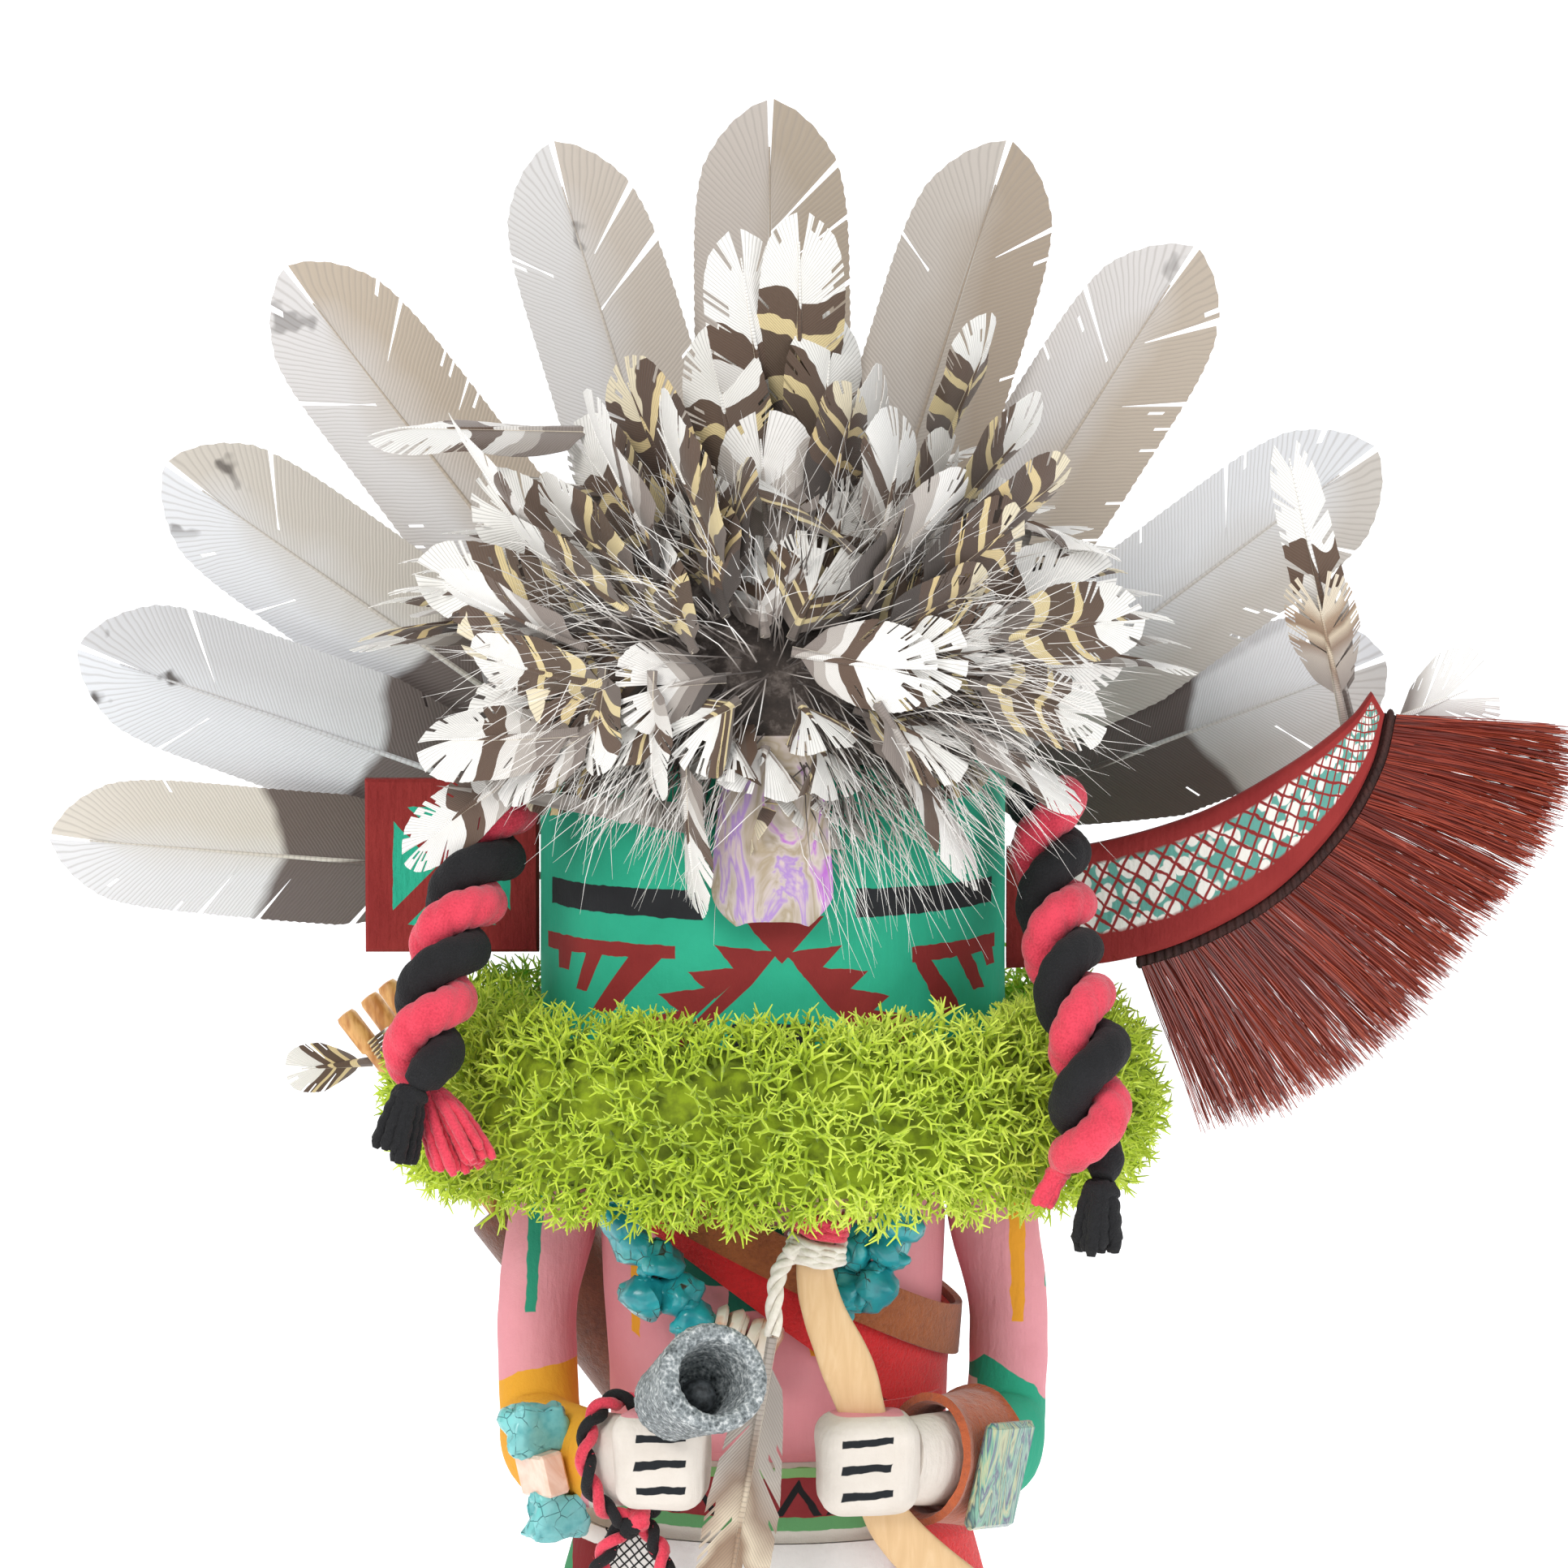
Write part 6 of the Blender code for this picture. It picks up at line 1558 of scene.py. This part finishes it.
def make_cuff():
    suede = felt_paint("rust suede cuff", "suede", "782c0c", "b0511f", 1000)
    stretch = forearm(1, 6.5, 17, 25)

    def place(across, along):
        i = round(along * 24)
        (point, _, side, up), wide, high = stretch[i]
        roll = 0.9 * math.exp(-(min(along, 1 - along) / 0.07) ** 2)
        turn = across * TURN
        return round_about(point, side, up, turn, wide * 1.05 + 1.0 + roll, high * 1.05 + 1.0 + roll)
    cuff = warped(48, 24, place, closed=True)
    thicken(cuff, -1.5)
    roughen(cuff, 0.25, 0.35)
    add_piece("cuff_of_suede", cuff, suede, "suede_cuff")
    abalone = pearl("abalone", "shell", (
        (0.26, "27333a"), (0.34, "3f7f7a"), (0.41, "8fae9a"), (0.46, "4c3f6a"), (0.50, "5f9b86"),
        (0.55, "b5b48a"), (0.60, "2f4a52"), (0.66, "77a98f"), (0.74, "6a4f86")), 260, (1.0, 1.0, 0.10), 0.35)
    repaint("abalone_plate", abalone)


def make_bracelet():
    rough = turquoise_paint("rough turquoise", "7cc4c4", "3f9aa0", "2a6a70")
    for name in ("bracelet_turquoise_upper", "bracelet_turquoise_lower"):
        low, high = box_of(name)
        chunk = bmesh.new()
        bmesh.ops.create_cube(chunk, size=1)
        round_edges(chunk, 0.16, 3, 4)
        roughen(chunk, 0.22, 2.2, low.z)
        roughen(chunk, 0.07, 7.0, low.z)
        turn = Matrix.Rotation(math.radians(28), 4, "Z")
        size = Vector((10.4, 5.0, high.z - low.z))
        placing = Matrix.Translation((low + high) / 2) @ turn @ Matrix.Diagonal((*size, 1))
        bmesh.ops.transform(chunk, matrix=placing, verts=chunk.verts)
        add_piece(f"{name}_rough", chunk, rough, name)
    pink = pearl("pink shell", "shell", (
        (0.3, "d9a88c"), (0.5, "efcdb9"), (0.62, "e3b59c"), (0.75, "f3dccd")), 90, (1, 1, 0.6), 0.5)
    repaint("bracelet_shell", pink)


def two_ply(points, radius, rows, step):
    """A red and a black ply wound round each other, as two bmeshes."""
    fine = frames_along(smooth_points(points, rows), Vector((0.3, 0.2, 1)).normalized())
    length = sum((b[0] - a[0]).length for a, b in zip(fine, fine[1:]))
    made = []
    for phase in (0, math.pi):
        line = []
        for i, (point, _, side, up) in enumerate(fine):
            angle = phase + TURN * length / step * i / (rows - 1)
            line.append(point + (side * math.cos(angle) + up * math.sin(angle)) * radius * 0.52)
        made.append(strand(line, radius * 0.62, 3, 4.0, 0.22, rows)[0])
    return made


def make_wrist_yarn():
    """Cord of red and black wool knotted round the wrist, its ends hanging."""
    frame, across, up = forearm(-1, 4.5, 1, 2)[0]
    point, _, side, top = frame
    radius = 1.75
    loop = []
    for i in range(15):
        turn = TURN * i / 14
        loop.append(round_about(point, side, top, turn, across + 0.8 + radius, up + 0.8 + radius))
    low = point - top * (up + 2.6)
    routes = [(loop, 150, 9.0)]
    for aside, fall in ((-7, 18), (5.5, 22)):
        steps = ((0, 0, 1), (aside * 0.7, -2.4, -fall * 0.24), (aside, -3, -fall * 0.6),
                 (aside * 0.85, -2.6, -fall))
        routes.append(([low + Vector(step) for step in steps], 80, 8.0))
    red, black = bmesh.new(), bmesh.new()
    for route, rows, step in routes:
        one, other = two_ply(route, radius, rows, step)
        fluff(one, smooth_points(route, 30), radius, 30, 0.9, 0.07)
        join(red, one)
        join(black, other)
    for ply, off, seed in ((red, (0.5, -2.2, 0.5), 1.0), (black, (-1.2, -2.4, -1.0), 2.0)):
        join(ply, stone(low + Vector(off), (4.6, 4.0, 4.2), seed, 4, 0.2))
    add_piece("wrist_cord_red", red, RED_YARN, "wrist_yarn")
    add_piece("wrist_cord_black", black, BLACK_YARN, "wrist_yarn")


# Throwing stick, its bindings, and the bell

STICK_ROWS = (
    (-6.5, -6.0, 56.0, 4.8), (-6.9, -5.0, 46.5, 5.2), (-8.3, -4.2, 41.0, 5.6), (-9.3, -3.4, 34.5, 6.4),
    (-7.6, -2.6, 26.5, 7.6), (-3.6, -1.8, 17.0, 9.2), (-0.9, -1.0, 8.5, 8.0), (0.6, -0.4, 0.0, 7.2),
    (3.2, -0.4, -9.6, 7.8), (9.4, -0.6, -17.0, 8.8), (17.0, -1.2, -23.0, 8.6), (23.5, -1.6, -26.5, 5.0),
)


def stick_frames(count):
    """Frames and half widths along the stick, as in the part's source."""
    centre = fist_centre(1)
    rows = smooth_rows(STICK_ROWS, count)
    points = [centre + Vector((x, y + 1.4, z)) for x, y, z, _ in rows]
    frames = []
    for i, point in enumerate(points):
        direction = (points[min(i + 1, count - 1)] - points[max(i - 1, 0)]).normalized()
        through = (Vector((0, 1, 0)) - direction * direction.y).normalized()
        frames.append(((point, direction, direction.cross(through), through), rows[i][3] / 2))
    return frames


def string_start():
    """Where the end of the cotton string leaves its binding."""
    return stick_frames(101)[23][0][0] + Vector((-5.0, -0.5, -0.5))


def winding(first, last, gap, radius, turns, wobble=0.0):
    """Yarn wound round a stretch of the stick."""
    frames = stick_frames(401)
    points = []
    for i in range(int(turns * 20) + 1):
        share = i / (turns * 20)
        (point, _, side, through), half = frames[round((first + (last - first) * share) * 400)]
        angle = TURN * turns * share
        lift = gap + wobble * math.sin(angle * 2.3 + i * 0.7)
        points.append(round_about(point, side, through, angle, half + lift, 2.1 + lift))
    return tube(points, radius, 8)


def make_stick():
    wood = Paint("pale cottonwood", "pale wood", Roughness=0.6)
    wood.figured(wood.noise(wood.stretched(wood.where(), 9, 9, 1.2), 70, 4, 0.6, 0.8), 0.2, 0.15,
                 (0.3, "cba77a"), (0.5, "d1ae81"), (0.7, "d7b78c"))
    frames = stick_frames(120)

    def place(across, along):
        (point, _, side, through), half = frames[round(along * 119)]
        turn = across * TURN
        c, s = math.cos(turn), math.sin(turn)
        return (point + side * half * math.copysign(abs(c) ** 0.8, c)
                + through * 1.6 * math.copysign(abs(s) ** 0.55, s))
    stick = warped(28, 119, place, closed=True, capped=True)
    roughen(stick, 0.12, 0.25)
    add_piece("stick_carved", stick, wood, "throwing_stick")

    red = bmesh.new()
    for layer in range(3):
        join(red, winding(0.125, 0.188, 0.7 + layer * 0.35, 0.75, 5.5, 0.12 * layer))
    add_piece("stick_red_binding", red, RED_YARN, "stick_red_yarn")

    cotton = Paint("cotton string", "white cotton", Roughness=0.9, Sheen_Weight=0.2)
    where = cotton.where()
    cotton.set(Base_Color=mottled(cotton, where, "d5cdbf", "f1ece2", 500))
    cotton.bump(cotton.noise(where, 1800, 3), 0.6, 0.3)
    start = string_start()
    white = bmesh.new()
    for layer in range(3):
        join(white, winding(0.200, 0.258, 0.8 + layer * 0.4, 0.62, 6.5, 0.2 * layer))
    steps = ((3.2, -1.2, 1.5), (-0.6, -1.2, -1.5), (-2.0, -1.6, -6), (-2.4, -2.0, -14.0))
    route = [start + Vector(step) for step in steps]
    for phase in (0, TURN / 3, 2 * TURN / 3):
        line = []
        fine = frames_along(smooth_points(route, 70), Vector((1, 0, 0)))
        for i, (spot, _, side, up) in enumerate(fine):
            angle = phase + i * 0.17
            line.append(round_about(spot, side, up, angle, 0.85, 0.85))
        join(white, tube(line, 0.75, 8))
    join(white, stone(start + Vector((1.0, -2.0, 0.8)), (3.6, 3.0, 3.2), 2.2, 4, 0.2))
    add_piece("cotton_binding", white, cotton, "stick_string")


def make_bell():
    granite = Paint("grey stone", "stone", Roughness=0.85)
    where = granite.where()
    specks = granite.cells(where, 1500)
    cloud = granite.noise(where, 700, 4, 0.8)
    shade = granite.noise(where, 60, 2)
    color = granite.ramp(cloud * 0.7 + specks * 0.25 + shade * 0.15, (0.36, "2f3436"), (0.48, "6f7678"),
                         (0.58, "8f9698"), (0.70, "d5d8d8"))
    granite.set(Base_Color=color)
    granite.bump(cloud * 0.6 + specks * 0.4, 0.9, 0.5)
    axis = Vector((0.32, -0.881, 0.336)).normalized()
    end = fist_centre(-1) + Vector((0.08 * 16.4, -7.5, 8.8 + 2.2))
    profile = [(0, 0), (5.4, 0), (6.3, 0.5), (6.8, 1.6)]
    profile += [(6.8 + 2.7 * t ** 1.1, 1.6 + 22.8 * t) for t in np.linspace(0.1, 1, 12)]
    profile += [(9.3, 25.4), (8.8, 25.9), (8.2, 26), (7.0, 25.9), (6.4, 25.4), (6.3, 24.4)]
    profile += [(6.3 - 1.1 * t, 24.4 - 9 * t) for t in np.linspace(0.15, 1, 6)] + [(2.2, 11.2), (0, 11)]
    bell = lathe(profile, 96, end, axis)
    roughen(bell, 0.22, 1.4)
    roughen(bell, 0.25, 0.3)
    add_piece("bell_of_stone", bell, granite, "stone_bell")
    # The clapper ball deep in the bell's cavity is a real ball. Its near-black colour (1d2022 to 4a4f52) is
    # painted shade of the cavity.
    dark = Paint("clapper ball in painted cavity shade", "stone", Roughness=0.6)
    dark.figured(dark.noise(dark.where(), 900, 3), 0.6, 0.3, (0.35, "1d2022"), (0.65, "4a4f52"))
    low, high = box_of("bell_clapper")
    add_piece("bell_ball", stone((low + high) / 2, (6.3, 6.3, 6.3), 0.4, 4, 0.05), dark, "bell_clapper")


# Quiver and small feathers

QUIVER_LENGTH = 92


def make_quiver():
    suede = felt_paint("dark suede", "suede", "3a1d12", "6b3b25", 1000)
    lean = Vector((-0.60, 0.07, 0.80)).normalized()
    foot_height = at_height(0.50)
    foot = Vector((7, body_half_sizes(foot_height)[1] + FIT + 8.2, foot_height))
    profile = [(0, 0), (4.6, 0), (6.8, 1.0), (8.2, 3.5), (8.9, 14), (9.2, 46), (9.6, 80), (10, 91.4),
               (9.7, QUIVER_LENGTH), (8.6, 91.8), (8.4, 90), (8.4, 77), (0, 76)]
    case = lathe(profile, 64, foot, lean)
    roughen(case, 0.5, 0.12)
    add_piece("quiver_sewn", case, suede, "quiver")
    cane = Paint("arrow cane", "pale wood", Roughness=0.5)
    cane.figured(cane.noise(cane.stretched(cane.where(), 10, 10, 2), 80, 3), 0.4, 0.2,
                 (0.35, "b4763a"), (0.6, "dca766"))
    side = (Vector((1, 0, 0)) - lean * lean.x).normalized()
    up = lean.cross(side)
    start = foot + lean * (QUIVER_LENGTH - 16 + FIT)
    profile = [(0, 0), (1.45, 0), (1.5, 1), (1.5, 53.5), (1.95, 54), (2.0, 55), (2.0, 61), (1.7, 61.8),
               (0.5, 62), (0, 61.2)]
    for number, (a, b) in enumerate(((0.0, 4.2), (-3.9, -2.1), (3.7, -2.4)), start=1):
        root = start + side * a + up * b
        spread = (lean + side * a * 0.004 + up * b * 0.004).normalized()
        shaft = lathe(profile, 24, root, spread)
        add_piece(f"arrow_{number}_shaft", shaft, cane, f"arrow_{number}")
    clip = foot + lean * (QUIVER_LENGTH + 36) - side * 6.2
    paint = hackle_paint("quiver feather barring", "cream")
    bm = feather(clip, Vector((-0.95, 0.0, -0.10)), Vector((0, -1, 0.2)), 16.5, 4.6, 2, rows=34, columns=3,
                 slant=0.8, splits=((1, 0.6, 0.2, 0.8), (-1, 0.4, 0.2, 0.8)), fray=0.3, thick=0.15,
                 number=0.55)
    for k in range(5):
        ring = [clip + side * (3.4 + 2.6 * math.cos(angle)) + lean * k * 0.8 + up * 5.5 * math.sin(angle)
                for angle in (TURN * i / 24 for i in range(25))]
        join(bm, tube(ring, 0.35, 6))
    add_piece("quiver_feather_barred", bm, paint, "quiver_feather")


def make_small_feathers():
    """The feather on the cotton string and the three behind the crescent's tip."""
    start = string_start() + Vector((-2.6, -2.2, -14.4))
    barred = hackle_paint("string feather barring", "soft")
    bm = feather(start, Vector((-0.17, -0.02, -1)), Vector((0, -1, 0)), 62, 6.4, 4, rows=56, columns=4,
                 bow=2.0, slant=0.6, tip_slant=0.3, taper=0.5, fray=0.7, number=0.35,
                 splits=((1, 0.2, 0.2, 1.2), (-1, 0.35, 0.2, 1.4), (1, 0.55, 0.3, 1.4), (-1, 0.7, 0.3, 1.2)))
    add_piece("string_feather_barred", bm, barred, "string_feather")
    x, z = MASK_RADIUS + FIT + 0.945 * HORN_REACH, MASK_BOTTOM + 17 + 0.60 * HORN_REACH
    looks = (
        ("tip_down_feather", "soft", Vector((-0.22, 0, 1)), -1.35, 4.0, 30, 6.5, 1.0),
        ("tip_spotted_feather", "white", Vector((-0.24, 0, 1)), 0, 6.7, 54, 4.8, 0.35),
        ("tip_white_feather", "pale", Vector((1.0, 0, 0.42)), 1.35, 4.0, 26, 8.0, 0.9),
    )
    for name, look, along, across, depth, length, half, fray in looks:
        root = Vector((x + across, depth, z))
        bm = feather(root, along, Vector((0, -1, 0)), length, half, 7, rows=40, columns=4, slant=0.8,
                     tip_slant=0.35, taper=0.5, fray=fray, number=0.2,
                     splits=((1, 0.3, 0.1, 1.6), (-1, 0.5, 0.1, 1.6), (1, 0.7, 0.2, 1.6),
                             (-1, 0.82, 0.2, 1.4)))
        paint = hackle_paint(f"{name} look", look)
        add_piece(f"{name}_vane", bm, paint, name)


def make_stage():
    """A pale floor that curves up into a backdrop, far enough off to leave the back in view."""
    paint = Paint("paper", Roughness=0.9, Base_Color=(0.95, 0.95, 0.95, 1), Emission_Strength=0.45)
    cloud = paint.noise(paint.where(), 0.8, 2)
    paint.set(Emission_Color=paint.mix(cloud, "fdfdff", "ffffff"))
    bm = bmesh.new()
    foot, sweep, half = 2.6, 0.6, 3.5
    rows = [(-foot, 0.0), (foot, 0.0)]
    rows += [(foot + sweep * math.sin(a), sweep - sweep * math.cos(a))
             for a in np.linspace(0.15, math.pi / 2, 12)]
    rows.append((foot + sweep, 3.6))
    verts = [bm.verts.new((-half, depth, height)) for depth, height in rows]
    edges = [bm.edges.new(pair) for pair in zip(verts, verts[1:])]
    grown = bmesh.ops.extrude_edge_only(bm, edges=edges)
    moved = [item for item in grown["geom"] if isinstance(item, bmesh.types.BMVert)]
    bmesh.ops.translate(bm, verts=moved, vec=(2 * half, 0, 0))
    mesh = bpy.data.meshes.new("backdrop")
    bm.to_mesh(mesh)
    bm.free()
    mesh.shade_smooth()
    mesh.materials.append(paint.material)
    backdrop = bpy.data.objects.new("backdrop", mesh)
    scene.collection.objects.link(backdrop)


set_camera()
make_ropes()
set_lights()
make_stage()
make_base()
make_body()
make_arm(-1, "right_arm")
make_arm(1, "left_arm")
make_mask()
make_ear_board()
make_horn()
make_fringe()
make_fan()
make_crown()
make_shell()
make_moss()
make_sash_and_strap()
make_necklace()
make_cuff()
make_bracelet()
make_wrist_yarn()
make_stick()
make_bell()
make_quiver()
make_small_feathers()
